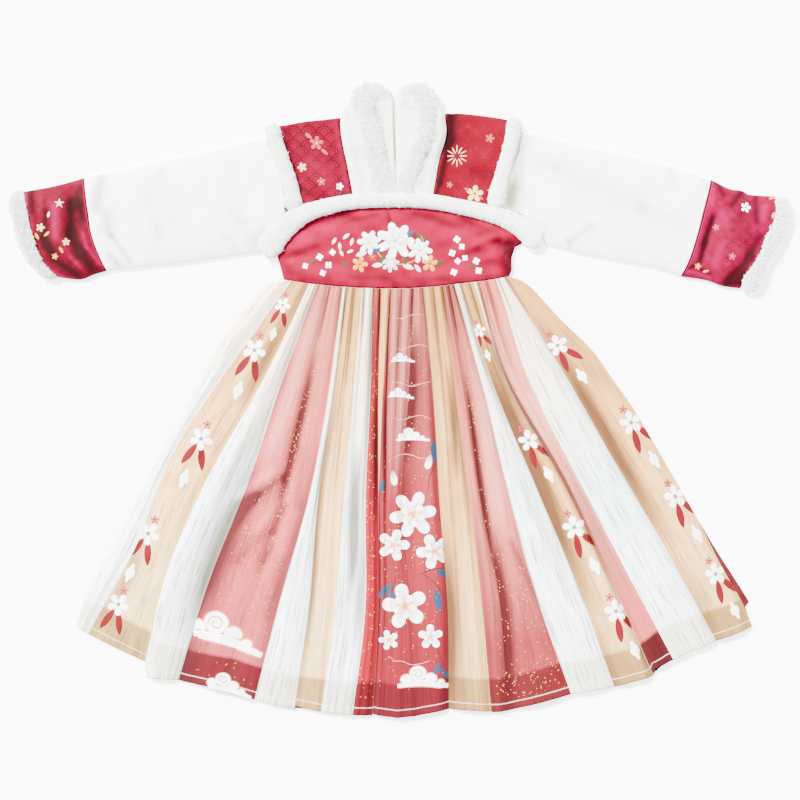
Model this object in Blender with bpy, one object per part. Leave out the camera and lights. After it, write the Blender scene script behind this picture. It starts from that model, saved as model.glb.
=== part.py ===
"""A child's hanfu dress, laid flat on a surface with its front up.

Sizes are in millimetres here and become metres when a mesh is made. +X points to the right of someone
looking down at the dress, +Y towards its collar and +Z up from the surface it lies on. The origin is on
that surface, under the middle of the dress. Left and right are those of that viewer, not the wearer's.
"""
import math
from collections import namedtuple

import bpy
import numpy as np

MM = 0.001

# Heights of the layers above the surface
SEAM_GAP = 0.3
ARMHOLE_GAP = 0.9
CUFF_SEAM_GAP = 0.5
FUR_SEAM_GAP = 1.0
BACK_ARMHOLE_GAP_LEFT = 1.8
BACK_ARMHOLE_GAP_RIGHT = 2.7
BACK_WALL = 1.8
LINING_WALL = 1.5
CHIFFON_WALL = 1.6
SATIN_WALL = 3.0
PLUSH_WALL = 2.5
FRONT_BASE = BACK_WALL + SEAM_GAP
LINING_TOP = FRONT_BASE + LINING_WALL
SKIRT_SEAT = LINING_TOP + SEAM_GAP
SATIN_TOP = FRONT_BASE + SATIN_WALL
COLLAR_BACK_TOP = 5.0
COLLAR_BASE = COLLAR_BACK_TOP + SEAM_GAP

# Heights of the rounded pieces
SLEEVE_HEIGHT = 14.0
SLEEVE_HEIGHT_AT_BODICE = 11.0
CUFF_HEIGHT = 16.0
TUBE_EDGE_HEIGHT = 4.0
CUFF_FUR_HEIGHT = 22.0
CUFF_FUR_HOLLOW = (5.0, 13.5)
FUR_ROLL_HEIGHT = 10.5
CHEST_FUR_WIDTH = 19.5
SHOULDER_FUR_WIDTH = 18.0
COLLAR_THICKNESS = 13.0
YOKE_PUFF = 1.2
YOKE_EDGE_DROP = 0.9
TUBE_ROUNDNESS = 3.2
HOLLOW_EDGE_RISE = 0.6
HOLLOW_ROOF_RISE = 1.0
CUFF_FUR_SIDE = 6.0

# The skirt's gathers
GATHER_AT_SEAM = 2.6
GATHER_HEIGHT = 5.0
LINING_END = 0.915
LINING_INSET = 17.0
HEM_STEP_SHARPNESS = 12

# Outlines, each from the waist or bottom upwards or from left to right, as (x, y)
SKIRT_LEFT = [(-145, 150), (-161, 146), (-172, 138), (-203, 100), (-229, 63), (-249, 25), (-268, -12),
              (-309, -87), (-348, -162), (-388, -237), (-404, -282)]
SKIRT_RIGHT = [(136, 154), (151, 149), (166, 138), (201, 100), (239, 63), (266, 25), (292, -12),
               (336, -87), (372, -150), (397, -200), (418, -237), (429, -257), (439, -282)]
BACK_CORNER = [(380, -162), (391, -181), (427, -237), (436, -252), (431, -258)]
WAIST = [(-145, 150), (-104, 144), (-54, 140), (-1, 139), (38, 141), (73, 145), (101, 148), (136, 154)]
SHOULDER_LEFT = [(-168, 340), (-147, 342), (-118, 347), (-75, 351.5)]
SHOULDER_RIGHT = [(56, 357), (76, 357), (104, 354), (130, 350), (149, 344)]
ARMHOLE_LEFT = [(-178, 184), (-166, 204), (-153, 222), (-145, 234), (-144.5, 245), (-147, 264),
                (-154, 290), (-164, 317), (-168.5, 328)]
ARMHOLE_RIGHT = [(182, 194), (172, 214), (153, 230), (133, 240), (126.5, 247), (128, 258), (137.5, 283),
                 (145, 309), (151, 334)]
SLEEVE_LEFT_TOP = [(-393, 277), (-324, 292), (-223, 314), (-168.5, 328)]
SLEEVE_LEFT_BOTTOM = [(-365, 161), (-335, 164), (-277, 170), (-178, 184)]
SLEEVE_RIGHT_TOP = [(151, 334), (223, 317), (277, 306), (337, 290), (387, 275)]
SLEEVE_RIGHT_BOTTOM = [(182, 194), (216, 185), (248, 178), (315, 165), (350, 155)]
CUFF_LEFT_SEAM = [(-365, 161), (-373, 178), (-383, 207), (-389, 245), (-393, 277)]
CUFF_LEFT_TOP = [(-469, 260), (-451, 263), (-426, 268), (-393.4, 277)]
CUFF_LEFT_BOTTOM = [(-426, 153), (-399, 150), (-382, 156), (-365.4, 161)]
CUFF_LEFT_END = [(-426, 153), (-439, 162), (-449, 182), (-457, 205), (-462, 229), (-467, 247), (-469, 260)]
FUR_LEFT_OUTER = [(-434, 148), (-453, 156), (-467, 173), (-476, 190), (-483, 215), (-489.2, 240),
                  (-489, 254), (-479, 264)]
CUFF_RIGHT_SEAM = [(350, 155), (359, 175), (369, 207), (379, 245), (387, 275)]
CUFF_RIGHT_TOP = [(387.4, 275), (399, 269), (412, 263), (426, 261), (437, 256), (467, 254)]
CUFF_RIGHT_BOTTOM = [(350.4, 154), (382, 149), (402, 142), (424, 139)]
CUFF_RIGHT_END = [(424, 139), (427, 153), (434, 160), (446, 178), (453, 200), (463, 220), (468, 240),
                  (467, 254)]
FUR_RIGHT_OUTER = [(434, 131), (446, 135), (452, 147), (457, 172), (469, 188), (478, 205), (487, 225),
                   (490.2, 239), (486, 256)]
CHEST_FUR_AXIS = [(-165, 187), (-156, 202), (-144, 215), (-121, 231), (-90, 241), (-57, 247), (-3, 249),
                  (38, 247), (70, 241.5), (104, 234), (131, 226), (155, 213), (169, 199)]
SHOULDER_FUR_LEFT_AXIS = [(-158, 343), (-156, 322), (-146, 292), (-138, 266), (-135.5, 250)]
SHOULDER_FUR_RIGHT_AXIS = [(140, 350), (136, 323), (128, 292), (119, 265), (115.5, 252)]
YOKE_SEAM_LEFT = [(-144, 237), (-130, 237), (-113, 239), (-88, 243.5), (-60, 247.5)]
YOKE_SEAM_RIGHT = [(45, 247.5), (76, 242.5), (104, 237), (126, 243)]
BAND_TOP = [(-174, 188), (-163, 204), (-150, 222), (-142, 234), (-130, 236), (-113, 238), (-88, 242.5),
            (-60, 246.5), (-32, 248.5), (-6, 249.5), (24, 248.5), (45, 246.5), (76, 241.5), (104, 235.5),
            (126, 239.5), (132, 237), (150, 228), (168, 213), (178, 198)]
BAND_LEFT = [(-145, 150.4), (-150, 169), (-155, 184), (-174, 188)]
BAND_RIGHT = [(136, 154.4), (139, 162), (139.5, 178), (144, 191), (156, 197), (178, 198)]
NECK_CENTRE = (-8, 353)
NECK_HALF_WIDTH = 63
NECK_DEPTH = 20
COLLAR_STEP_Y = 300
COLLAR_BACK_EDGE = [(51, 362), (43, 375), (30, 384), (16, 385), (5, 381), (-6, 371), (-14, 380),
                    (-30, 386), (-46, 383), (-57, 372), (-63, 361)]
COLLAR_LEFT_OUTER = [(-59.3, 260), (-65, 290), (-71, 318), (-74, 342), (-72, 359), (-64, 374), (-56, 387),
                     (-42, 395.4)]
COLLAR_LEFT_INNER = [(-6, 260), (-6, 288), (-7, 313), (-8, 344), (-8, 365), (-10, 380), (-18, 389),
                     (-33, 394.5)]
COLLAR_LEFT_FOLD = [(-12, 260), (-18, 284), (-23, 302), (-29, 325), (-34, 345), (-39, 365), (-41, 380),
                    (-38, 395)]
COLLAR_RIGHT_OUTER = [(41, 259), (44, 273), (49, 300), (57, 328), (56, 350), (49, 368), (44, 381),
                      (35, 391.5)]
COLLAR_RIGHT_INNER = [(-4, 260), (-4.5, 288), (-5, 313), (-6, 344), (-6, 365), (-4, 383), (5, 390.5),
                      (22, 395)]
COLLAR_RIGHT_FOLD = [(14, 260), (24, 283), (33, 304), (40, 323), (44, 348), (43, 368), (38, 382), (28, 394)]
YOKE_LEFT_INNER = [(-60, 247.5), (-59.9, 260), (-65.6, 290), (-71.8, 318), (-75.2, 342), (-75, 351.5)]
YOKE_RIGHT_INNER = [(45, 247.5), (42, 260), (44.8, 273), (49.8, 300), (57.6, 328), (57, 357)]

Fold = namedtuple("Fold", "name waist_x upper_x middle_x lower_x hem_x hem_y step_y "
                          "top_depth middle_depth hem_depth crest lean edge")
# One row for each fold line of the skirt's front, from left to right. The x columns are where it runs
# at the waist, at each quarter of the way and at the hem. The cloth's hem is at hem_y on its left and at
# step_y on its right. A depth is the share of the crest's height that the line lies below it. crest,
# lean and edge tell of the cloth on its right: height, where across it is highest, and how much of that
# height is reached at once, where one pleat overlaps the next.
FOLDS = [
    Fold("beige left", -134, -214, -285, -328, -388, -291, -291, 0.9, 0.4, 0.25, 6, 0.50, 0.0),
    Fold("white pleat", -114, -169, -236, -288, -318, -326, -345, 0.9, 0.7, 0.8, 10, 0.30, 0.5),
    Fold("pink left", -102, -148, -189, -238, -276, -349, -349, 0.9, 0.9, 0.9, 8, 0.60, 0.0),
    Fold("pink crease", -87, -114, -144, -178, -219, -360, -360, 0.9, 0.8, 0.2, 8, 0.45, 0.0),
    Fold("pink right", -72, -88, -112, -148, -181, -373, -373, 0.9, 0.3, 0.3, 7, 0.40, 0.0),
    Fold("beige narrow", -66, -81, -102, -113, -132, -386, -380, 0.9, 0.6, 0.9, 6, 0.35, 0.4),
    Fold("beige crease", -56, -69, -82, -90, -103, -387, -387, 0.9, 0.3, 0.1, 6, 0.50, 0.0),
    Fold("white valley", -44, -52, -61, -62, -78, -391, -391, 0.9, 0.9, 0.4, 7, 0.50, 0.0),
    Fold("red left", -34, -37, -43, -43, -59, -392, -392, 0.9, 0.4, 0.3, 6, 0.40, 0.0),
    Fold("centre fold", -24, -27, -27, -27, -34, -393, -391, 0.9, 0.9, 1.0, 7, 0.60, 0.3),
    Fold("centre second", -12, -16, -17, -17, -22, -393, -393, 0.9, 0.7, 0.1, 8, 0.60, 0.0),
    Fold("pale pleat", 2, -3, -7, -4, -4, -395, -395, 0.9, 0.1, 0.0, 8, 0.50, 0.0),
    Fold("dark valley", 16, 11, 3, 12, 18, -393, -393, 1.0, 0.6, 0.1, 8, 0.55, 0.0),
    Fold("centre right", 28, 41, 49, 59, 61, -385, -385, 0.9, 0.9, 1.0, 6, 0.60, 0.0),
    Fold("beige sliver", 41, 56, 66, 75, 84, -386, -386, 0.9, 0.2, 0.1, 7, 0.50, 0.0),
    Fold("red right", 52, 71, 87, 102, 114, -388, -389, 0.9, 0.5, 0.5, 6, 0.35, 0.0),
    Fold("red crease", 60, 84, 103, 125, 134, -387, -387, 0.9, 0.95, 0.7, 9, 0.60, 0.0),
    Fold("red edge", 67, 103, 134, 168, 213, -366, -366, 0.8, 0.3, 0.3, 8, 0.40, 0.0),
    Fold("white left", 75, 116, 169, 221, 267, -357, -357, 0.9, 0.9, 0.7, 8, 0.60, 0.0),
    Fold("motif crease", 86, 126, 185, 242, 291, -350, -350, 0.8, 0.15, 0.1, 9, 0.60, 0.0),
    Fold("pink strip", 97, 134, 203, 261, 316, -343, -335, 0.9, 0.8, 0.9, 8, 0.30, 0.4),
    Fold("strip crease", 108, 147, 214, 276, 339, -323, -323, 0.8, 0.3, 0.2, 9, 0.40, 0.0),
    Fold("white soft", 122, 170, 233, 295, 362, -312, -312, 0.7, 0.2, 0.15, 9, 0.40, 0.0),
    Fold("beige wide", 131, 201, 266, 332, 394, -300, -300, 0.9, 0.9, 0.6, 8, 0.55, 0.0),
]
LEFT_SIDE_CREST = 5.0
FOLD_ROWS = (0.0, 0.03, 0.08, 0.16, 0.26, 0.37, 0.48, 0.60, 0.72, 0.84, 0.925, 0.97, 1.0)
PLEAT_COLUMNS = (0.0, 0.07, 0.38, 0.70)
LAST_PLEAT_COLUMNS = (0.0, 0.07, 0.38, 0.70, 0.92)

# Where the rings of a flattened tube have points, as shares of the way from its front to its back edge
TOP_SHARES = (0.0, 0.02, 0.08, 0.19, 0.33, 0.5, 0.67, 0.81, 0.92, 0.98, 1.0)
BOTTOM_SHARES = (0.97, 0.83, 0.67, 0.5, 0.33, 0.19, 0.03)

# A cuff's fur ring: its rings of points from the mouth inwards, and how full it is at each
FUR_SHARES = (0.0, 0.14, 0.4, 0.75, 1.0)
FUR_SWELL = (0.72, 0.93, 1.0, 0.97, 0.86)

# A fur roll: its section as shares of its width and height, its two end rings and each roll's ring count
ROLL_SECTION = ((-0.36, 0.0), (0.36, 0.0), (0.5, 0.30), (0.43, 0.68), (0.2, 0.96), (-0.2, 0.96),
                (-0.43, 0.68), (-0.5, 0.30))
ROLL_END_SCALES = (0.45, 0.85)
ROLL_END_STEPS = (0.3, 0.66)
CHEST_FUR_RINGS = 34
SHOULDER_FUR_RINGS = 13

# The collar's lapels: rows from the bottom up, and heights across each as shares of its thickness, from
# one edge to the fold and on to the other edge
COLLAR_ROWS = (0, 0.04, 0.12, 0.22, 0.33, 0.45, 0.57, 0.69, 0.79, 0.87, 0.93, 0.97, 1.0)
COLLAR_FULLNESS_ROWS = (0, 0.12, 0.35, 0.85, 0.95, 1)
COLLAR_FULLNESS = (0.4, 0.6, 0.85, 1, 0.75, 0.4)
COLLAR_STEP_LENGTH = 15.0
Station = namedtuple("Station", "share height")
LEFT_LAPEL = [Station(0, 0.35), Station(0.1, 0.74), Station(0.3, 1.0), Station(0.6, 0.95),
              Station(0.85, 1.0), Station(1, 0.86)]
LEFT_INSIDE = [Station(0.1, 0.42), Station(0.4, 0.52), Station(0.7, 0.74), Station(0.9, 0.78),
               Station(1, 0.45)]
RIGHT_INSIDE = [Station(0, 0.45), Station(0.08, 0.8), Station(0.3, 1.0), Station(0.6, 1.0),
                Station(0.85, 0.82)]
RIGHT_LAPEL = [Station(0, 0.6), Station(0.35, 0.78), Station(0.7, 0.74), Station(1, 0.35)]

Crease = namedtuple("Crease", "x0 y0 x1 y1 depth width")
# One row for each soft trough pressed into a piece, from (x0, y0) to (x1, y1). A ridge has depth below 0.
CREASES = {
    "chest_band_front": [
        Crease(-150, 176, -95, 184, 1.0, 6),
        Crease(-128, 213, -70, 226, 1.0, 6),
        Crease(-75, 229, -25, 214, 0.9, 5),
        Crease(-16, 236, -12, 220, 1.0, 3),
        Crease(20, 226, 70, 212, 1.0, 6),
        Crease(85, 180, 140, 196, 1.2, 6),
        Crease(92, 214, 108, 196, 0.9, 5),
        Crease(-60, 152, 40, 158, 0.8, 6),
    ],
    "yoke_left": [Crease(-118, 300, -70, 292, 0.8, 8)],
    "yoke_right": [Crease(66, 352, 64, 300, 1.4, 7), Crease(60, 280, 110, 284, 0.7, 7)],
    "sleeve_left": [
        Crease(-366, 275, -376, 235, 2.0, 9),
        Crease(-370, 205, -340, 166, 2.6, 8),
        Crease(-355, 214, -330, 176, 1.6, 8),
        Crease(-205, 300, -190, 240, 1.5, 12),
        Crease(-290, 250, -200, 215, 1.2, 14),
    ],
    "sleeve_right": [
        Crease(150, 305, 168, 240, 2.4, 12),
        Crease(168, 300, 230, 270, 1.4, 12),
        Crease(185, 225, 250, 205, 1.2, 12),
        Crease(372, 262, 376, 230, 1.8, 9),
        Crease(290, 200, 345, 190, 1.2, 12),
    ],
    "cuff_left": [
        Crease(-455, 256, -446, 215, 2.0, 6),
        Crease(-438, 250, -438, 205, 1.6, 5),
        Crease(-406, 262, -404, 175, 3.4, 9),
        Crease(-398, 232, -378, 172, 2.2, 6),
        Crease(-430, 175, -405, 158, 1.6, 6),
    ],
    "cuff_right": [
        Crease(391, 226, 372, 172, 3.0, 6),
        Crease(397, 268, 404, 252, 1.8, 6),
        Crease(423, 262, 410, 243, 2.0, 6),
        Crease(441, 256, 442, 226, 1.8, 6),
        Crease(446, 200, 412, 152, 2.6, 8),
        Crease(360, 163, 382, 158, 2.0, 5),
    ],
}

Finish = namedtuple("Finish", "red green blue roughness")
FINISHES = {
    "skirt_front": Finish(0.83, 0.55, 0.47, 0.80),
    "skirt_back": Finish(0.85, 0.74, 0.62, 0.80),
    "skirt_lining": Finish(0.90, 0.89, 0.86, 0.75),
    "chest_band_front": Finish(0.76, 0.06, 0.15, 0.45),
    "bodice_back": Finish(0.62, 0.04, 0.11, 0.50),
    "yoke": Finish(0.58, 0.03, 0.09, 0.42),
    "cuff": Finish(0.58, 0.03, 0.09, 0.42),
    "sleeve": Finish(0.92, 0.92, 0.90, 0.70),
    "collar": Finish(0.93, 0.93, 0.91, 0.90),
    "fur": Finish(0.94, 0.94, 0.92, 0.95),
}


def clear_scene():
    """Removes every object that the scene starts with."""
    for thing in list(bpy.data.objects):
        bpy.data.objects.remove(thing, do_unlink=True)


def make_material(name):
    """The piece's own material, from the finish whose key is the longest start of its name."""
    keys = [key for key in FINISHES if name.startswith(key) or (key == "fur" and "fur" in name)]
    finish = FINISHES["fur"] if "fur" in keys else FINISHES[max(keys, key=len)]
    material = bpy.data.materials.new(name)
    material.use_nodes = True
    shader = material.node_tree.nodes["Principled BSDF"]
    shader.inputs["Base Color"].default_value = (finish.red, finish.green, finish.blue, 1.0)
    shader.inputs["Roughness"].default_value = finish.roughness
    shader.inputs["Metallic"].default_value = 0.0
    return material


def make_object(name, points, faces):
    """A smooth-shaded object from points in millimetres."""
    mesh = bpy.data.meshes.new(name)
    mesh.from_pydata([tuple(coordinate * MM for coordinate in point) for point in points], [], faces)
    mesh.update()
    mesh.shade_smooth()
    thing = bpy.data.objects.new(name, mesh)
    bpy.context.scene.collection.objects.link(thing)
    mesh.materials.append(make_material(name))
    return thing


def smooth_points(points, steps=8):
    """A Catmull-Rom curve through the points, as many more points."""
    points = np.asarray(points, dtype=float)
    padded = np.vstack([2 * points[0] - points[1], points, 2 * points[-1] - points[-2]])
    result = []
    for index in range(1, len(padded) - 2):
        before, start, end, after = padded[index - 1:index + 3]
        for step in range(steps):
            t = step / steps
            result.append(0.5 * (2 * start + (end - before) * t
                                 + (2 * before - 5 * start + 4 * end - after) * t ** 2
                                 + (3 * start - before - 3 * end + after) * t ** 3))
    result.append(padded[-2])
    return np.array(result)


def along(points, shares, smooth=True):
    """Points at the given shares of a curve's length."""
    points = smooth_points(points) if smooth else np.asarray(points, dtype=float)
    lengths = np.concatenate([[0], np.cumsum(np.hypot(*np.diff(points, axis=0).T))])
    shares = np.asarray(shares) * lengths[-1]
    return np.stack([np.interp(shares, lengths, points[:, axis]) for axis in (0, 1)], axis=-1)


def patch(left, right, bottom, top, across, up):
    """A grid of (x, y) between four edge curves, with a row for each share in up.

    left and right run upwards, bottom and top run to the right. across holds the shares of the columns,
    one list for all rows or one for each row.
    """
    up = np.asarray(up, dtype=float)
    across = np.broadcast_to(np.asarray(across, dtype=float), (len(up), np.shape(across)[-1]))
    v = up[:, None, None]
    u = across[:, :, None]
    left_points = along(left, up)[:, None, :]
    right_points = along(right, up)[:, None, :]
    bottom_points = along(bottom, across)
    top_points = along(top, across)
    corners = ((1 - u) * (1 - v) * np.array(bottom[0]) + u * (1 - v) * np.array(bottom[-1])
               + (1 - u) * v * np.array(top[0]) + u * v * np.array(top[-1]))
    return (1 - v) * bottom_points + v * top_points + (1 - u) * left_points + u * right_points - corners


def pressed(name, grid):
    """How far the piece's creases lower its outer face at each point of the grid."""
    depth = np.zeros(grid.shape[:2])
    for crease in CREASES.get(name, []):
        start = np.array([crease.x0, crease.y0])
        run = np.array([crease.x1, crease.y1]) - start
        share = np.clip(((grid - start) @ run) / (run @ run), 0, 1)
        distance = np.linalg.norm(grid - (start + share[..., None] * run), axis=-1)
        depth += crease.depth * np.exp(-(distance / crease.width) ** 2)
    return depth


def border(shape):
    """1 on the outer points of a grid and 0 inside."""
    edge = np.ones(shape)
    edge[1:-1, 1:-1] = 0
    return edge


def make_wall(name, grid, upper, lower):
    """A closed wall between two heights over one grid of (x, y)."""
    rows, columns = upper.shape
    points = [(*grid[r, c], upper[r, c]) for r in range(rows) for c in range(columns)]
    points += [(*grid[r, c], lower[r, c]) for r in range(rows) for c in range(columns)]
    below = rows * columns
    faces = []
    for r in range(rows - 1):
        for c in range(columns - 1):
            corner = r * columns + c
            quad = (corner, corner + 1, corner + columns + 1, corner + columns)
            faces.append(quad)
            faces.append(tuple(below + index for index in reversed(quad)))
    rim = [c for c in range(columns)]
    rim += [r * columns + columns - 1 for r in range(1, rows)]
    rim += [(rows - 1) * columns + c for c in range(columns - 2, -1, -1)]
    rim += [r * columns for r in range(rows - 2, 0, -1)]
    for start, end in zip(rim, rim[1:] + rim[:1]):
        faces.append((end, start, below + start, below + end))
    return make_object(name, points, faces)


def make_plate(name, outline, low, high):
    """A flat panel cut to an outline that runs anticlockwise."""
    count = len(outline)
    points = [(x, y, high) for x, y in outline] + [(x, y, low) for x, y in outline]
    faces = [tuple(range(count)), tuple(reversed(range(count, 2 * count)))]
    for start in range(count):
        end = (start + 1) % count
        faces.append((end, start, count + start, count + end))
    return make_object(name, points, faces)


def make_tube(name, left, right, bottom, top, across, heights, hollow_low, hollow_top_wall, side_wall):
    """A flattened tube that runs left to right, open at both ends, lying on the surface.

    heights are its outer heights at the shares in across. hollow_low is the wall under its hollow,
    hollow_top_wall the wall over it and side_wall the wall at its folded edges, one for each share.
    """
    upper = patch(left, right, bottom, top, across, TOP_SHARES)
    creases = pressed(name, upper)
    outer_rings = []
    inner_rings = []
    for column in range(len(across)):
        edge_low = upper[0, column]
        edge_high = upper[-1, column]
        width = np.linalg.norm(edge_high - edge_low)
        inset = side_wall[column] / width
        outer = []
        inner = []
        for row, share in enumerate(TOP_SHARES):
            fullness = (1 - abs(2 * share - 1) ** TUBE_ROUNDNESS) ** 0.5
            rise = (heights[column] - TUBE_EDGE_HEIGHT - creases[row, column]) * fullness
            z = TUBE_EDGE_HEIGHT + rise
            outer.append((*upper[row, column], z))
            within = inset + share * (1 - 2 * inset)
            spot = np.array([np.interp(within, TOP_SHARES, upper[:, column, axis]) for axis in (0, 1)])
            at_edge = row in (0, len(TOP_SHARES) - 1)
            least = hollow_low[column] + (HOLLOW_EDGE_RISE if at_edge else HOLLOW_ROOF_RISE)
            inner.append((*spot, max(least, z - hollow_top_wall[column])))
        for share in BOTTOM_SHARES:
            spot = [np.interp(share, TOP_SHARES, upper[:, column, axis]) for axis in (0, 1)]
            outer.append((*spot, 0.0))
            within = inset + share * (1 - 2 * inset)
            spot = [np.interp(within, TOP_SHARES, upper[:, column, axis]) for axis in (0, 1)]
            inner.append((*spot, hollow_low[column]))
        outer_rings.append(outer)
        inner_rings.append(inner)
    size = len(TOP_SHARES) + len(BOTTOM_SHARES)
    points = [point for ring in outer_rings + inner_rings for point in ring]
    inside = len(across) * size
    faces = []
    for ring in range(len(across) - 1):
        for spot in range(size):
            after = (spot + 1) % size
            corner = ring * size
            quad = (corner + spot, corner + size + spot, corner + size + after, corner + after)
            faces.append(quad)
            faces.append(tuple(inside + index for index in reversed(quad)))
    last = (len(across) - 1) * size
    for spot in range(size):
        after = (spot + 1) % size
        faces.append((after, inside + after, inside + spot, spot))
        faces.append((last + spot, inside + last + spot, inside + last + after, last + after))
    return make_object(name, points, faces)


def make_roll(name, axis, width, base, height, count):
    """A soft roll that lies along an axis, with a flat underside and rounded ends."""
    shares = np.linspace(0, 1, count)
    spots = along(axis, shares)
    length = np.sum(np.hypot(*np.diff(spots, axis=0).T))
    first, second = (width * step / length for step in ROLL_END_STEPS)
    shares = np.concatenate([[0, first], np.linspace(second, 1 - second, count - 4), [1 - first, 1]])
    spots = along(axis, shares)
    runs = np.gradient(spots, axis=0)
    runs /= np.linalg.norm(runs, axis=1)[:, None]
    scales = [ROLL_END_SCALES[0], ROLL_END_SCALES[1]] + [1.0] * (count - 4)
    scales += [ROLL_END_SCALES[1], ROLL_END_SCALES[0]]
    points = []
    for spot, run, scale in zip(spots, runs, scales):
        aside = np.array([run[1], -run[0]])
        for across, up in ROLL_SECTION:
            place = spot + aside * across * width * scale
            points.append((*place, base + height * up * (0.4 + 0.6 * scale)))
    size = len(ROLL_SECTION)
    faces = [tuple(range(size)), tuple(reversed(range((count - 1) * size, count * size)))]
    for ring in range(count - 1):
        for spot in range(size):
            after = (spot + 1) % size
            corner = ring * size
            faces.append((corner + spot, corner + size + spot, corner + size + after, corner + after))
    return make_object(name, points, faces)


def shifted(points, dx, dy=0.0):
    """The curve moved by an offset."""
    return [(x + dx, y + dy) for x, y in points]


def height_of(curve, x):
    """A curve's y at x, for a curve that runs to the right."""
    points = smooth_points(curve)
    return float(np.interp(x, points[:, 0], points[:, 1]))


def side_x(curve, y):
    """A side's x at y, for a curve that runs down from the waist."""
    points = smooth_points(curve)[::-1]
    return np.interp(y, points[:, 1], points[:, 0])


def fold_path(fold):
    """The points of a fold line at every row, from the waist to the hem."""
    stations = np.array([0, 0.25, 0.5, 0.75, 1])
    places = [fold.waist_x, fold.upper_x, fold.middle_x, fold.lower_x, fold.hem_x]
    curve = smooth_points(list(zip(stations, places)))
    x = np.interp(FOLD_ROWS, curve[:, 0], curve[:, 1])
    start = height_of(WAIST, fold.waist_x) - SEAM_GAP
    y = start + np.array(FOLD_ROWS) * (fold.hem_y - start)
    return np.stack([x, y], axis=-1)


def side_path(curve):
    """The points of one of the skirt's sides at every row."""
    start = curve[0][1] - SEAM_GAP
    y = start + np.array(FOLD_ROWS) * (curve[-1][1] - start)
    return np.stack([side_x(curve, y), y], axis=-1)


def crest_height(crest, row):
    """The height of a pleat above the skirt's seat at a row."""
    gather = np.interp(row, (0, 0.03, 0.08), (GATHER_AT_SEAM, 4.4, GATHER_HEIGHT))
    return gather + (crest - GATHER_HEIGHT) * np.clip((row - 0.08) / 0.35, 0, 1)


def pleat_profile(share, lean, edge, left_depth, right_depth):
    """The share of the crest's height at a place across one pleat."""
    if share <= lean:
        rise = math.sin(math.pi / 2 * share / lean)
        sharp = min(1.0, share / PLEAT_COLUMNS[1])
        return 1 - left_depth * (1 - (edge * sharp + (1 - edge) * rise))
    return 1 - right_depth * (1 - math.sin(math.pi / 2 * (1 - share) / (1 - lean)))


def build_skirt_front():
    """The pleated chiffon: every pleat runs from the waist seam to the hem."""
    rows = np.array(FOLD_ROWS)
    paths = [side_path(SKIRT_LEFT)] + [fold_path(fold) for fold in FOLDS] + [side_path(SKIRT_RIGHT)]
    depths = [np.ones(len(rows))]
    depths += [np.interp(rows, (0, 0.5, 1), (fold.top_depth, fold.middle_depth, fold.hem_depth))
               for fold in FOLDS]
    depths.append(np.ones(len(rows)))
    crests = [LEFT_SIDE_CREST] + [fold.crest for fold in FOLDS]
    leans = [0.5] + [fold.lean for fold in FOLDS]
    edges = [0.0] + [fold.edge for fold in FOLDS]
    steps = [0.0] + [fold.step_y - fold.hem_y for fold in FOLDS]
    grid_columns = []
    height_columns = []
    for index in range(len(paths) - 1):
        shares = LAST_PLEAT_COLUMNS if index == len(paths) - 2 else PLEAT_COLUMNS
        for share in shares:
            column = (1 - share) * paths[index] + share * paths[index + 1]
            if share > 0:
                drop = steps[index] * (1 - share) * rows ** HEM_STEP_SHARPNESS
                column = column + np.array([0, 1]) * drop[:, None]
            heights = [crest_height(crests[index], row)
                       * pleat_profile(share, leans[index], edges[index],
                                       depths[index][place], depths[index + 1][place])
                       for place, row in enumerate(rows)]
            grid_columns.append(column)
            height_columns.append(heights)
    grid_columns.append(paths[-1])
    height_columns.append([0.0] * len(rows))
    grid = np.stack(grid_columns, axis=1)
    heights = np.array(height_columns).T
    heights[:, 0] = 0
    from_left = grid[:, :, 0] - grid[:, :1, 0]
    from_right = grid[:, -1:, 0] - grid[:, :, 0]
    from_side = np.clip((np.minimum(from_left, from_right) - 1) / 8, 0, 1)
    above_hem = np.interp(rows, (0.925, 0.97, 1), (1, 0.25, 0))[:, None]
    seat = FRONT_BASE + (SKIRT_SEAT - FRONT_BASE) * from_side * above_hem
    lower = seat + heights
    return make_wall("skirt_front", grid[::-1], (lower + CHIFFON_WALL)[::-1], lower[::-1])


def hem_curve():
    """The hem of the skirt's front, from left to right."""
    points = [SKIRT_LEFT[-1]]
    for fold in FOLDS:
        points.append((fold.hem_x, fold.hem_y))
    points.append(SKIRT_RIGHT[-1])
    return points


def build_skirt_back():
    """The back of the skirt, flat on the surface, whose right corner shows past the front."""
    left = [(side_x(SKIRT_LEFT, y), y) for y in np.linspace(149.5, -281, 22)]
    right_rows = [y for y in np.linspace(153.5, -281, 22) if y > BACK_CORNER[0][1] + 6]
    right = [(side_x(SKIRT_RIGHT, y) - 0.6, y) for y in right_rows] + BACK_CORNER + [(438, -281)]
    hem = [(x, y + 1.5) for x, y in hem_curve()[1:-1]]
    waist = along(shifted(WAIST, 0, -SEAM_GAP), np.linspace(0.01, 0.99, 16))
    outline = [(x + 0.6, y) for x, y in left] + hem + right[::-1] + [tuple(point) for point in waist[::-1]]
    return make_plate("skirt_back", outline, 0.0, BACK_WALL)


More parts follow.
